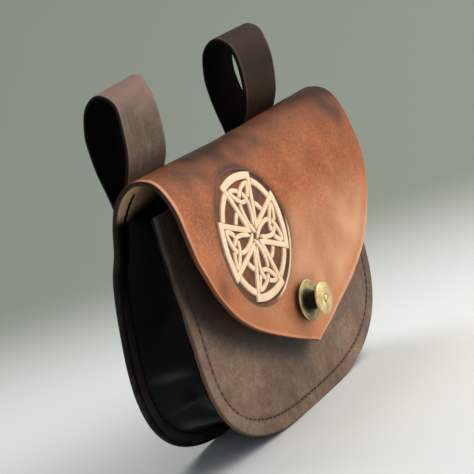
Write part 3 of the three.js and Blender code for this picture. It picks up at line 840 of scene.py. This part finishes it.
def makeGusset(material, lining):
    look = gussetCut
    thick = bag["gussetLeather"]
    turnIn = look["flange"] - thick
    frontSeat = bag["panelLeather"] + bag["seatGap"] + thick
    backSeat = bag["bodyLeather"] + bag["seatGap"] + thick
    flangeCount, webCount = look["flangeColumns"], look["webColumns"]
    columns = 2 * flangeCount + webCount

    def flat(column, row):
        return column, lerp(-1, 1, row / (look["stations"] - 1))

    def webShare(column):
        return (column - flangeCount + 1) / (webCount + 1)

    def rimGap(column, along):
        ends = min(column, columns - 1 - column) / flangeCount * look["flange"]
        return min(ends, (1 - abs(along)) * look["sideLength"])

    def onFrontSeat(along, inset, layer):
        spot, outward = rimStation(along, bag["frontTop"])
        at = spot - outward * inset
        return onFront(at.x, at.y, frontSeat - layer)

    def onBackSeat(along, inset, layer):
        spot, outward = rimStation(along, bag["backTop"], bag["backSeamTop"])
        at = spot - outward * inset
        return onBody(at.x, at.y + bag["footSink"], backSeat - layer)

    def place(column, along, share):
        column = round(column)
        layer = share * thick
        for near, onSeat in ((column, onFrontSeat), (columns - 1 - column, onBackSeat)):
            if near < flangeCount:
                inset = lerp(look["inset"], turnIn + layer, near / (flangeCount - 1))
                return onSeat(along, inset, layer)
        across = webShare(column)
        sag = (look["sag"] + foldDepth(along, across)) * math.sin(math.pi * across) ** look["sagPower"]
        inset = turnIn + layer + sag
        return onFrontSeat(along, inset, layer).lerp(onBackSeat(along, inset, layer), across)

    def tint(column, along, inside):
        height = rimSpot(along, bag["frontTop"], bag["seamTop"]).y
        across = webShare(column)
        # painted sheen where low folds bulge outward, and at the listed spots
        ridge = clamp(-foldDepth(along, across) / look["ridgeHeight"])
        paintedSheen = (look["paintedSheen"] + look["ridgeSheen"] * ridge) * fade(*look["sheenUp"], height)
        for spot, middle, longHalf, wideHalf, strength in look["glints"]:
            paintedSheen += strength * hump((abs(along) - spot, longHalf), (across - middle, wideHalf))
        flange = 0
        if column < flangeCount - 1:
            flange = ease(*look["frontFlangeUp"], height)
        elif column > columns - flangeCount:
            flange = look["backFlange"] * fade(*look["backFlangeUp"], height)
        return clamp(paintedSheen), 0 if inside else flange

    piece = leatherSheet("black_gusset", columns, look["stations"], flat, rimGap, place,
                         ("sheen", "flange"), tint, look["roundEdge"])
    finishPiece(piece, (material, lining), ("gusset",))


# belt loops

loop = {
    "spacing": 110.0, "width": 30.0, "tabBottom": 82.0, "tabTop": 95.0, "rows": 170, "roundEdge": 0.8,
    "edgeColumns": (0, 0.25, 0.6, 1.1, 1.8, 3.0), "innerColumns": 10, "endRows": (0, 0.3, 0.7, 1.3),
    # up the front, over the crest and down the rear, forward and up
    "line": ((12.3, 106), (15.3, 115), (20.0, 124), (25.2, 134), (27.6, 144), (27.9, 154), (25.2, 162.9),
             (19.0, 166.8), (12.2, 162.9), (9.0, 153), (8.7, 143), (9.4, 134), (10.6, 124), (11.0, 115),
             (9.6, 106)),
    "foot": 106.0, "rise": {-1: 1.0, 1: 1.04},
    # how far the crest has settled, forward and up, at its left and right edge
    "settle": {-1: ((0.0, -3.4), (2.5, -0.8)), 1: ((-0.6, -2.2), (2.8, -0.8))}, "settleUp": (112, 164),
    # and how far front and rear are pressed back below it, at heights for the left and right edge
    "front": {-1: (-2.2, -3.2), 1: (-0.8, -1.2)}, "rear": {-1: (-1.0, 0.0), 1: (-0.4, -3.4)},
    "pressRise": ((112, 124), (136, 152)), "pressFall": ((148, 161), (164, 168)),
    "free": (30, 55), "waves": ((0.35, 34, 4.4),), "waveShift": 60,
    "drift": ((0.8, 45, 6.3),), "driftShift": 50,
    # painted highlight beside the edge, darker foot, lighter crest from wear and a painted highlight
    "edgeHighlight": 0.55, "lineFrom": (0.3, 0.6), "lineTo": (0.9, 1.6), "low": 0.75, "lowUp": (112, 142),
    "crest": 0.65, "crestUp": (148, 165), "crestSlant": 0.12, "crestTear": ((3, 12, 2.9),),
}
lowerTab = -bag["seatGap"] - bag["loopLeather"] / 2
upperTab = lowerTab - bag["loopLeather"] - bag["seatGap"]


def loopLineFor(side):
    rise, foot = loop["rise"][side], loop["foot"]
    return bendLine([backSpot(loop["tabBottom"], lowerTab), backSpot(loop["tabTop"], lowerTab)]
                    + [Vector((forward, foot + (height - foot) * rise)) for forward, height in loop["line"]]
                    + [backSpot(loop["tabTop"], upperTab), backSpot(loop["tabBottom"], upperTab)])


def makeLoop(side, name, node, material, lining):
    middle = side * loop["spacing"] / 2
    half = loop["width"] / 2
    loopLine = loopLineFor(side)
    length = loopLine["length"]

    def flat(column, row):
        ends = loop["endRows"]
        back = loop["rows"] - 1 - row
        if row < len(ends):
            along = ends[row]
        elif back < len(ends):
            along = length - ends[back]
        else:
            share = (row - len(ends) + 1) / (loop["rows"] + 1 - 2 * len(ends))
            along = lerp(ends[-1], length - ends[-1], share)
        return columnAcross(column, loop, half), along

    def rimGap(across, along):
        return min(half - abs(across), along, length - along)

    def place(across, along, share):
        spot, ahead = lineAt(loopLine, along)
        outward = Vector((ahead.y, -ahead.x))
        free = ease(*loop["free"], min(along, length - along))
        wave = free * sway(across + loop["waveShift"] * side, along, loop["waves"])
        spot = spot + outward * ((0.5 - share) * bag["loopLeather"] + wave)
        over = clamp(across / loop["width"] + 0.5)
        press = ease(*(lerp(*edges, over) for edges in loop["pressRise"]), spot.y)
        press *= fade(*(lerp(*edges, over) for edges in loop["pressFall"]), spot.y)
        left, right = (Vector(edge) for edge in loop["settle"][side])
        spot = spot + left.lerp(right, over) * ease(*loop["settleUp"], spot.y)
        branch = "front" if along < length / 2 else "rear"
        spot.x += press * lerp(*loop[branch][side], over)
        drift = free * sway(loop["driftShift"] * side, along, loop["drift"])
        return rowSpot(middle + across + drift, spot.x, spot.y)

    def tint(across, along, inside):
        gap = rimGap(across, along)
        # painted highlight beside the edge on the outer face; the crest lightens with wear and a painted
        # highlight
        line = 0 if inside else ease(*loop["lineFrom"], gap) * fade(*loop["lineTo"], gap)
        height = lineAt(loopLine, along)[0].y
        worn = height + loop["crestSlant"] * across + sway(across, along, loop["crestTear"])
        low = loop["low"] * fade(*loop["lowUp"], height)
        return loop["edgeHighlight"] * line, low, loop["crest"] * ease(*loop["crestUp"], worn)

    piece = leatherSheet(name, columnCount(loop), loop["rows"], flat, rimGap, place,
                         ("edgeHighlight", "low", "crest"), tint, loop["roundEdge"])
    finishPiece(piece, (material, lining), (node,))


# waxed thread: each stitch a small long bead lying in its groove

thread = {
    "step": 3.5, "length": 2.7, "thick": 0.75, "lift": 0.05, "pathSteps": 800, "seamShare": 0.995,
    "backLift": 0.15, "innerInset": 1.2, "tabRows": (3, 12), "tabHalf": 3, "tabStep": 3.6,
    # short dark seam on the flesh side above each end of the gusset: across and along
    "tack": 4.6, "tackThick": 1.5, "tackSink": 0.1,
    "tackSpots": ((79.4, 117.0), (78.2, 119.4), (77.2, 121.8), (76.4, 124.4), (75.8, 127.0)),
}


def addStitch(bm, at, ahead, normal, length, thick):
    ahead = ahead.normalized()
    side = normal.cross(ahead).normalized()
    up = ahead.cross(side)
    turn = Matrix((ahead, side, up)).transposed().to_4x4()
    size = Matrix.Diagonal((length / 2 * mm, thick / 2 * mm, thick / 2 * mm, 1))
    bmesh.ops.create_uvsphere(bm, u_segments=8, v_segments=6, radius=1.0,
                              matrix=Matrix.Translation(at) @ turn @ size)


def makeThread(name, spots, material, length=thread["length"], thick=thread["thick"]):
    bm = bmesh.new()
    for at, ahead, normal in spots:
        addStitch(bm, at, ahead, normal, length, thick)
    finishPiece(makeObject(bm, name, 80), (material,))


# evenly spaced along the rim, inset from it, on the given face
def seamSpots(topHalf, topUp, inset, surface):
    path = []
    for i in range(-thread["pathSteps"], thread["pathSteps"] + 1):
        spot, outward = rimStation(i / thread["pathSteps"] * thread["seamShare"], topHalf, topUp)
        path.append(spot - outward * inset)
    spots, run = [], 0.0
    for a, b in zip(path, path[1:]):
        run += (b - a).length
        if run >= thread["step"]:
            run -= thread["step"]
            here, there = surface(a.x, a.y), surface(b.x, b.y)
            aside = surface(a.x + (b.y - a.y), a.y - (b.x - a.x))
            ahead = (there - here).normalized()
            spots.append((here, ahead, ahead.cross(aside - here).normalized()))
    return spots


def makeSeams(material, blackMaterial):
    sideways = Vector((1, 0, 0))
    innerFace = bag["bodyLeather"] + bag["seatGap"] + bag["gussetLeather"] + thread["lift"]

    def onPanel(across, up):
        return onFront(across, up, panel["seamDepth"] - thread["lift"] - panelFace(across, up))

    def onBack(across, up):
        return onBody(across, up + bag["footSink"], -thread["backLift"])

    def onInside(across, up):
        return onBody(across, up + bag["footSink"], innerFace)

    front = seamSpots(bag["frontTop"], bag["seamTop"], panel["seam"], onPanel)
    back = seamSpots(bag["backTop"], bag["seamTop"], panel["seam"], onBack)
    inner = seamSpots(bag["backTop"], bag["backSeamTop"], panel["seam"] - thread["innerInset"], onInside)
    tabs, tacks = [], []
    level = upperTab - bag["loopLeather"] / 2 - thread["lift"]
    for side in (-1, 1):
        for up in thread["tabRows"]:
            spot = backSpot(loop["tabBottom"] + up, level)
            for i in range(-thread["tabHalf"], thread["tabHalf"] + 1):
                across = side * loop["spacing"] / 2 + i * thread["tabStep"]
                tabs.append((rowSpot(across, spot.x, spot.y), sideways, Vector((0, 1, 0))))
        for across, along in thread["tackSpots"]:
            sunk = bag["bodyLeather"] - thread["tackSink"]
            at, there = (onBody(side * across, along + step, sunk) for step in (0, 0.5))
            tacks.append((at, there - at, sideways.cross(there - at)))
    makeThread("thread_front", front, material)
    makeThread("thread_back", back, material)
    makeThread("thread_inside", inner, blackMaterial)
    makeThread("thread_tabs", tabs, material)
    makeThread("thread_tacks", tacks, blackMaterial, thread["tack"], thread["tackThick"])


# brass clasp

clasp = {
    "across": -12.2, "fromTip": 19.6, "steps": 64,
    # outlines of radius, level above the flap's face and tarnish: patina in the hollows, and painted shade on
    # the cup's outer wall, on the dish round its neck and under the knob
    "cup": ((2.9, -3.7, 1), (6.4, -3.7, 0.6), (6.6, -3.5, 0.4), (6.6, -2.5, 0.6), (4.2, -2.5, 1),
            (4.2, 0.3, 1), (5.4, 0.3, 1), (7.2, 0.55, 1), (8.4, 1.05, 1), (8.95, 1.7, 0.95),
            (9.2, 2.5, 0.85), (9.3, 2.9, 0.4), (9.22, 3.14, 0), (9.02, 3.24, 0), (8.78, 3.18, 0),
            (8.55, 2.98, 0), (8.1, 2.66, 0), (7.2, 2.4, 0.05), (6.2, 2.28, 0.2), (5.3, 2.25, 0.7),
            (4.6, 2.4, 1), (4.2, 2.9, 1), (4.2, 7.1, 1), (4.0, 7.3, 1), (2.9, 7.3, 1)),
    "knob": ((0, 1.3, 1), (2.3, 1.3, 1), (2.5, 1.5, 1), (2.5, 7.9, 1), (2.9, 8.4, 1), (4.2, 8.85, 1),
             (6.4, 9.05, 0.9), (6.95, 9.2, 0.6), (7.22, 9.5, 0.2), (7.3, 9.85, 0), (7.22, 10.2, 0),
             (6.98, 10.48, 0), (6.6, 10.6, 0), (5.9, 10.66, 0), (4.6, 10.88, 0), (3.5, 11.02, 0),
             (2.6, 11.06, 0), (2.2, 11.0, 0), (1.95, 10.86, 0.25), (1.75, 10.78, 0.6), (1.55, 10.8, 0.6),
             (1.45, 11.0, 0.2), (1.36, 11.22, 0), (1.1, 11.46, 0), (0.65, 11.58, 0), (0, 11.6, 0)),
    # painted shade: the lower right side is darkened from this level up, so the upper left side stays bright
    "paintedShadeTurn": (-0.4, 0.7), "paintedShadeFrom": (1.2, 1.4), "cupShade": 0.7, "knobShade": 0.22,
    # scale, detail, roughness and warp of the patina, and what it does
    "patina": (260.0, 5.0, 0.6, 0.5), "fine": (1900.0, 4.0, 0.6), "patinaRange": (0.3, 0.62),
    "fineRange": (0.3, 0.7), "roughSpread": (-0.06, 0.08), "tarnishAndShade": (24, 20, 15), "metal": 0.65,
    "bump": 0.12, "bumpDepth": 0.0002,
}


def claspPlace():
    spot, ahead = lineAt(bodyLine, bodyLine["length"] - clasp["fromTip"])
    axis = Vector((0, ahead.y, ahead.x)).normalized()  # out of the flap
    turn = Vector((0, 0, 1)).rotation_difference(axis).to_matrix().to_4x4()
    return Matrix.Translation(rowSpot(clasp["across"], spot.x, spot.y)) @ turn @ Matrix.Scale(mm, 4)


def spinPiece(name, outline, material, nodes, sideShade, body="bag", closed=False):
    bm = bmesh.new()
    darkKey = bm.verts.layers.float.new("tarnishAndShade")
    verts = [bm.verts.new((radius, 0, level)) for radius, level, dark in outline]
    for v, (radius, level, dark) in zip(verts, outline):
        v[darkKey] = dark
    spinOutline(bm, verts, clasp["steps"], closed)
    bmesh.ops.recalc_face_normals(bm, faces=bm.faces[:])
    for v in bm.verts:
        # painted shade on the lower right side of each piece
        turned = (v.co.x - v.co.y) / max(1.41 * math.hypot(v.co.x, v.co.y), 0.01)
        shaded = sideShade * ease(*clasp["paintedShadeTurn"], turned) * ease(*clasp["paintedShadeFrom"], v.co.z)
        v[darkKey] = clamp(v[darkKey] + shaded)
    bmesh.ops.transform(bm, matrix=claspPlace(), verts=bm.verts[:])
    finishPiece(makeObject(bm, name, 32), (material,), nodes, body)


def makeClasp(brass, darkBrass):
    spinPiece("brass_cup", clasp["cup"], brass, ("clasp_plate",), clasp["cupShade"], closed=True)
    spinPiece("brass_knob", clasp["knob"], brass, ("clasp_knob",), clasp["knobShade"], "knob")
    low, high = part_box("clasp_stud")
    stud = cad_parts["clasp_stud"].data
    stud.materials.clear()
    stud.materials.append(darkBrass)
    print("stud kept as modelled,", round((high - low).y / mm, 1), "mm long")


def brassFinish(name, light, dark, rough):
    material, tree, shader, coords = newFinish(name)
    patina = noiseFac(tree, coords, *clasp["patina"])
    fine = noiseFac(tree, coords, *clasp["fine"])
    color = colorRamp(tree, patina, zip(clasp["patinaRange"], (dark, light)))
    # darkened by patina in the hollows and by painted shade
    color = mixColors(tree, attributeFac(tree, "tarnishAndShade"), color, clasp["tarnishAndShade"])
    feed(tree, shader.inputs["Base Color"], color)
    spread = [rough + change for change in clasp["roughSpread"]]
    feed(tree, shader.inputs["Roughness"], ranged(tree, fine, *clasp["fineRange"], *spread))
    setBump(tree, shader, fine, clasp["bump"], clasp["bumpDepth"])
    shader.inputs["Metallic"].default_value = clasp["metal"]
    return material


# finishes

cognacLook = {
    "blotchScale": 26.0, "speckles": ((420.0, 0.12), (900.0, 0.34)), "rough": (0.42, 0.56),
    "blotchColors": ((0.30, (156, 84, 48)), (0.5, (178, 102, 62)), (0.72, (194, 123, 82))),
    "scuffs": ({"scale": 30.0, "stretch": (1.0, 1.0, 0.6), "turn": (0.2, 0.4, 0.3), "from": 0.5, "to": 0.78,
                "amount": 0.22, "color": (200, 142, 108), "rougher": 0.05},),
    # pale wear with a painted sheen, a warm lower edge, and the antique wash
    "tints": (("rubbedAndSheen", (222, 164, 124)), ("warm", (200, 114, 62)), ("aged", (64, 36, 22))),
    "tintBreak": 0.22, "rim": ((104, 58, 36), (134, 78, 48)),
    # painted highlight on the rounded edge; the back's dark rim with painted shade below the fold; carved
    # ground
    "overTints": (("rimGlow", (228, 168, 132), (220, 154, 116)),
                  ("rimDarkAndShade", (34, 30, 27), (48, 42, 37)),
                  ("ground", (98, 69, 55), (132, 72, 46))),
    "grainScale": 1100.0, "bump": 0.3, "bumpDepth": 0.0004, "specular": 0.17,
}
tanFleshLook = {
    "blotchScale": 60.0, "speckles": ((900.0, 0.12),), "rough": (0.85, 0.95),
    "blotchColors": ((0.3, (194, 158, 120)), (0.7, (218, 184, 146))),
    # painted shade on the flesh side below the fold, and the back's dark rim
    "rim": cognacLook["rim"], "overTints": (("rimDarkAndShade", (34, 32, 29), (50, 48, 43)),),
    "grainScale": 1500.0, "bump": 0.3, "specular": 0.05,
}
brownLook = {
    "blotchScale": 30.0, "speckles": ((260.0, 0.16), (900.0, 0.32)), "rough": (0.56, 0.72),
    "blotchColors": ((0.28, (90, 69, 57)), (0.5, (122, 98, 81)), (0.74, (154, 128, 107))),
    # pale rubs, reddish rubs, dark clouds and fine scratches
    "scuffs": ({"scale": 60.0, "stretch": (1.0, 1.0, 0.22), "turn": (0.0, 0.7, 0.2), "from": 0.54, "to": 0.74,
                "amount": 0.5, "color": (152, 127, 108), "rougher": 0.12},
               {"scale": 70.0, "stretch": (0.4, 1.0, 1.0), "turn": (0.0, 0.35, 0.0), "from": 0.5, "to": 0.7,
                "amount": 0.5, "color": (132, 88, 69), "rougher": 0.1},
               {"scale": 24.0, "stretch": (1.0, 1.0, 0.7), "turn": (0.4, 0.2, 0.0), "from": 0.5, "to": 0.7,
                "amount": 0.32, "color": (80, 61, 51), "rougher": 0.0},
               {"scale": 150.0, "stretch": (1.0, 1.0, 0.07), "turn": (0.0, -0.8, 0.0), "from": 0.62,
                "to": 0.72, "amount": 0.4, "color": (178, 150, 130), "rougher": 0.1}),
    # painted shadow of the flap, and painted shade in the seam groove
    "tints": (("flapShadow", (30, 23, 20)), ("seamShade", (40, 30, 26))),
    "rim": ((74, 50, 41), (104, 74, 61)),
    "overTints": (("topDark", (40, 36, 33), (56, 50, 46)),),
    "grainScale": 1300.0, "bump": 0.24, "specular": 0.3,
}
leftLoopLook = {
    "blotchScale": 38.0, "speckles": ((300.0, 0.1), (900.0, 0.24)), "rough": (0.5, 0.66),
    "blotchColors": ((0.28, (88, 73, 61)), (0.5, (109, 91, 76)), (0.74, (134, 114, 97))),
    "scuffs": ({"scale": 110.0, "stretch": (1.0, 1.0, 0.1), "turn": (0.0, 0.15, 0.0), "from": 0.56, "to": 0.7,
                "amount": 0.65, "color": (166, 146, 128), "rougher": 0.1},
               {"scale": 45.0, "stretch": (1.0, 1.0, 0.5), "turn": (0.3, 0.5, 0.0), "from": 0.52, "to": 0.72,
                "amount": 0.45, "color": (136, 92, 84), "rougher": 0.0}),
    # lighter crest with a painted highlight, darker foot, painted highlight along the edge
    "tints": (("crest", (146, 109, 103)), ("low", (60, 46, 38)), ("edgeHighlight", (158, 128, 114))),
    "rim": ((15, 10, 8), (24, 16, 13)),
    "grainScale": 1300.0, "bump": 0.16, "specular": 0.26,
}
# the right loop: a darker copy of the left loop's finish
rightLoopLook = dict(
    leftLoopLook, specular=0.12,
    blotchColors=((0.28, (36, 23, 18)), (0.5, (49, 32, 26)), (0.74, (68, 46, 39))),
    scuffs=(dict(leftLoopLook["scuffs"][0], amount=0.3, color=(96, 72, 62)),
            dict(leftLoopLook["scuffs"][1], amount=0.3, color=(78, 48, 43))),
    tints=(("crest", (64, 44, 38)), ("low", (34, 24, 21)), ("edgeHighlight", (110, 84, 74))))
# flesh side of the panel, gusset and loops, darkened to near black as painted shade inside the bag and the
# loops
shadedFleshLook = {
    "blotchScale": 60.0, "speckles": ((900.0, 0.15),), "rough": (0.85, 0.95),
    "blotchColors": ((0.3, (9, 6, 5)), (0.7, (16, 11, 9))),
    "grainScale": 1500.0, "bump": 0.25, "specular": 0.03,
}
blackLook = {
    "blotchScale": 40.0, "speckles": ((500.0, 0.2),), "rough": (0.30, 0.42),
    "blotchColors": ((0.3, (2, 2, 3)), (0.7, (5, 6, 6))), "rim": ((7, 6, 6), (14, 13, 12)),
    # painted sheen on the gusset's folds
    "tints": (("sheen", (62, 68, 68)),),
    "overTints": (("flange", (50, 43, 38), (62, 54, 47)),),
    "grainScale": 1200.0, "bump": 0.15, "specular": 0.05,
}
strapLook = {
    "blotchScale": 70.0, "speckles": ((700.0, 0.05),), "rough": (0.55, 0.7),
    "blotchColors": ((0.3, (247, 210, 171)), (0.7, (255, 231, 198))),
    "grainScale": 1300.0, "bump": 0.15, "specular": 0.3,
}
# the border's lip is darker, except where its painted highlight is left pale
borderLook = dict(strapLook, overTints=(("lip", (96, 66, 52), (124, 78, 58)),))
threadLook = {
    "blotchScale": 90.0, "speckles": ((900.0, 0.2),), "rough": (0.75, 0.9),
    "blotchColors": ((0.3, (60, 45, 37)), (0.7, (78, 60, 50))),
    "grainScale": 2600.0, "bump": 0.4, "specular": 0.1,
}
blackThreadLook = dict(threadLook, specular=0.08,
                       blotchColors=((0.3, (7, 6, 6)), (0.7, (12, 11, 11))))
cognac = leatherFinish("cognac_leather_finish", cognacLook)
tanFlesh = leatherFinish("tan_flesh_finish", tanFleshLook)
brown = leatherFinish("brown_leather_finish", brownLook)
loopBrown = leatherFinish("left_loop_finish", leftLoopLook)
deepBrown = leatherFinish("right_loop_finish", rightLoopLook)
shadedFlesh = leatherFinish("shaded_flesh_finish", shadedFleshLook)
black = leatherFinish("black_leather_finish", blackLook)
undyed = leatherFinish("undyed_leather_finish", strapLook)
carvedWall = leatherFinish("carved_wall_finish", borderLook)
waxed = leatherFinish("waxed_thread_finish", threadLook)
blackWaxed = leatherFinish("black_thread_finish", blackThreadLook)
brass = brassFinish("aged_brass_finish", (250, 226, 166), (196, 166, 108), 0.44)
darkBrass = brassFinish("dull_brass_finish", (140, 118, 78), (92, 74, 46), 0.5)
print("finishes made")

makeBody(cognac, tanFlesh)
print("body leather made")
makeStrapwork(undyed, carvedWall)
print("medallion carved")
makePanel(brown, shadedFlesh)
makeGusset(black, shadedFlesh)
print("panel and gusset made")
makeLoop(-1, "brown_loop_left", "belt_loop_left", loopBrown, shadedFlesh)
makeLoop(1, "brown_loop_right", "belt_loop_right", deepBrown, shadedFlesh)
makeSeams(waxed, blackWaxed)
print("loops and thread made")
makeClasp(brass, darkBrass)
print("clasp made")


# floor that sweeps up behind the bag, soft light and camera

studio = {
    "reach": 3.0, "bendStart": 0.55, "bendRadius": 0.5, "bendSteps": 16, "wallHeight": 2.6, "width": 8.0,
    "floor": (249, 252, 250), "wall": (150, 157, 147), "shadeFrom": 0.05, "shadeTo": 0.5,
    "turn": math.radians(-59.78), "rough": 0.85, "specular": 0.15, "aim": (0, 0, 0.08),
    "lights": {
        "key": {"at": (0.75, -1.05, 1.05), "size": 2.2, "watts": 36.0, "color": (1.0, 0.97, 0.93)},
        "fill": {"at": (-1.3, -0.6, 0.5), "size": 1.2, "watts": 3.6, "color": (0.8, 0.92, 1.0)},
        "top": {"at": (0.3, 0.6, 1.4), "size": 1.0, "watts": 8.0, "color": (0.97, 0.99, 1.0)}},
    "ambient": (0.80, 0.86, 0.88, 1.0), "ambientStrength": 0.07,
}
camera = {
    "aim": (0.0, 4.525, 93.5), "azimuth": -59.78, "elevation": 9.25, "roll": -17.27, "away": 753.8,
    "lens": 127.81, "sensor": 36.0, "clip": 0.01, "drop": 12.07, "aside": 0.65,
}


def makeFloor(look):
    profile = [(-look["reach"], 0.0), (look["bendStart"], 0.0)]
    bend = look["bendRadius"]
    for i in range(1, look["bendSteps"] + 1):
        angle = i / look["bendSteps"] * math.pi / 2
        profile.append((look["bendStart"] + bend * math.sin(angle), bend * (1 - math.cos(angle))))
    profile.append((profile[-1][0], look["wallHeight"]))
    bm = bmesh.new()
    verts = [bm.verts.new((-look["width"] / 2, y, z)) for y, z in profile]
    edges = [bm.edges.new(pair) for pair in zip(verts, verts[1:])]
    grown = bmesh.ops.extrude_edge_only(bm, edges=edges)["geom"]
    moved = [v for v in grown if isinstance(v, bmesh.types.BMVert)]
    bmesh.ops.translate(bm, verts=moved, vec=(look["width"], 0, 0))
    bmesh.ops.rotate(bm, verts=bm.verts[:], cent=(0, 0, 0), matrix=Matrix.Rotation(look["turn"], 3, "Z"))
    bmesh.ops.recalc_face_normals(bm, faces=bm.faces[:])
    floor = makeObject(bm, "studio_floor", 60)
    material, tree, shader, coords = newFinish("studio_floor_finish")
    behind = addNode(tree, "ShaderNodeVectorMath", {"operation": "DOT_PRODUCT"})
    feed(tree, behind.inputs[0], coords)
    feed(tree, behind.inputs[1], (-math.sin(look["turn"]), math.cos(look["turn"]), 0))
    far = ranged(tree, behind.outputs["Value"], look["shadeFrom"], look["shadeTo"])
    feed(tree, shader.inputs["Base Color"], mixColors(tree, far, look["floor"], look["wall"]))
    shader.inputs["Roughness"].default_value = look["rough"]
    shader.inputs["Specular IOR Level"].default_value = look["specular"]
    floor.data.materials.append(material)


def makeLights(look):
    for name, light in look["lights"].items():
        lamp = bpy.data.lights.new(name + "_light", "AREA")
        lamp.energy = light["watts"]
        lamp.color = light["color"]
        lamp.size = light["size"]
        holder = bpy.data.objects.new(name + "_light", lamp)
        holder.location = light["at"]
        holder.rotation_euler = (Vector(look["aim"]) - holder.location).to_track_quat("-Z", "Y").to_euler()
        bpy.context.scene.collection.objects.link(holder)
    world = bpy.data.worlds.new("studio_air")
    world.use_nodes = True
    air = world.node_tree.nodes["Background"]
    air.inputs["Color"].default_value = look["ambient"]
    air.inputs["Strength"].default_value = look["ambientStrength"]
    bpy.context.scene.world = world
    bpy.context.scene.view_settings.view_transform = "Standard"


def makeCamera(look):
    a, e, r = (math.radians(look[key]) for key in ("azimuth", "elevation", "roll"))
    level = Vector((math.cos(a), math.sin(a), 0))
    back = Vector((math.sin(a) * math.cos(e), -math.cos(a) * math.cos(e), math.sin(e)))
    upright = back.cross(level)
    right = level * math.cos(r) + upright * math.sin(r)
    up = upright * math.cos(r) - level * math.sin(r)
    aim = Vector(look["aim"]) - up * look["drop"] - right * look["aside"]
    lens = bpy.data.cameras.new("photo_camera")
    lens.lens = look["lens"]
    lens.sensor_width = look["sensor"]
    lens.clip_start = look["clip"]
    holder = bpy.data.objects.new("photo_camera", lens)
    turn = Matrix((right, up, back)).transposed().to_4x4()
    holder.matrix_world = Matrix.Translation((aim + back * look["away"]) * mm) @ turn
    bpy.context.scene.collection.objects.link(holder)
    bpy.context.scene.camera = holder


makeFloor(studio)
makeLights(studio)
makeCamera(camera)
print("studio and camera set")
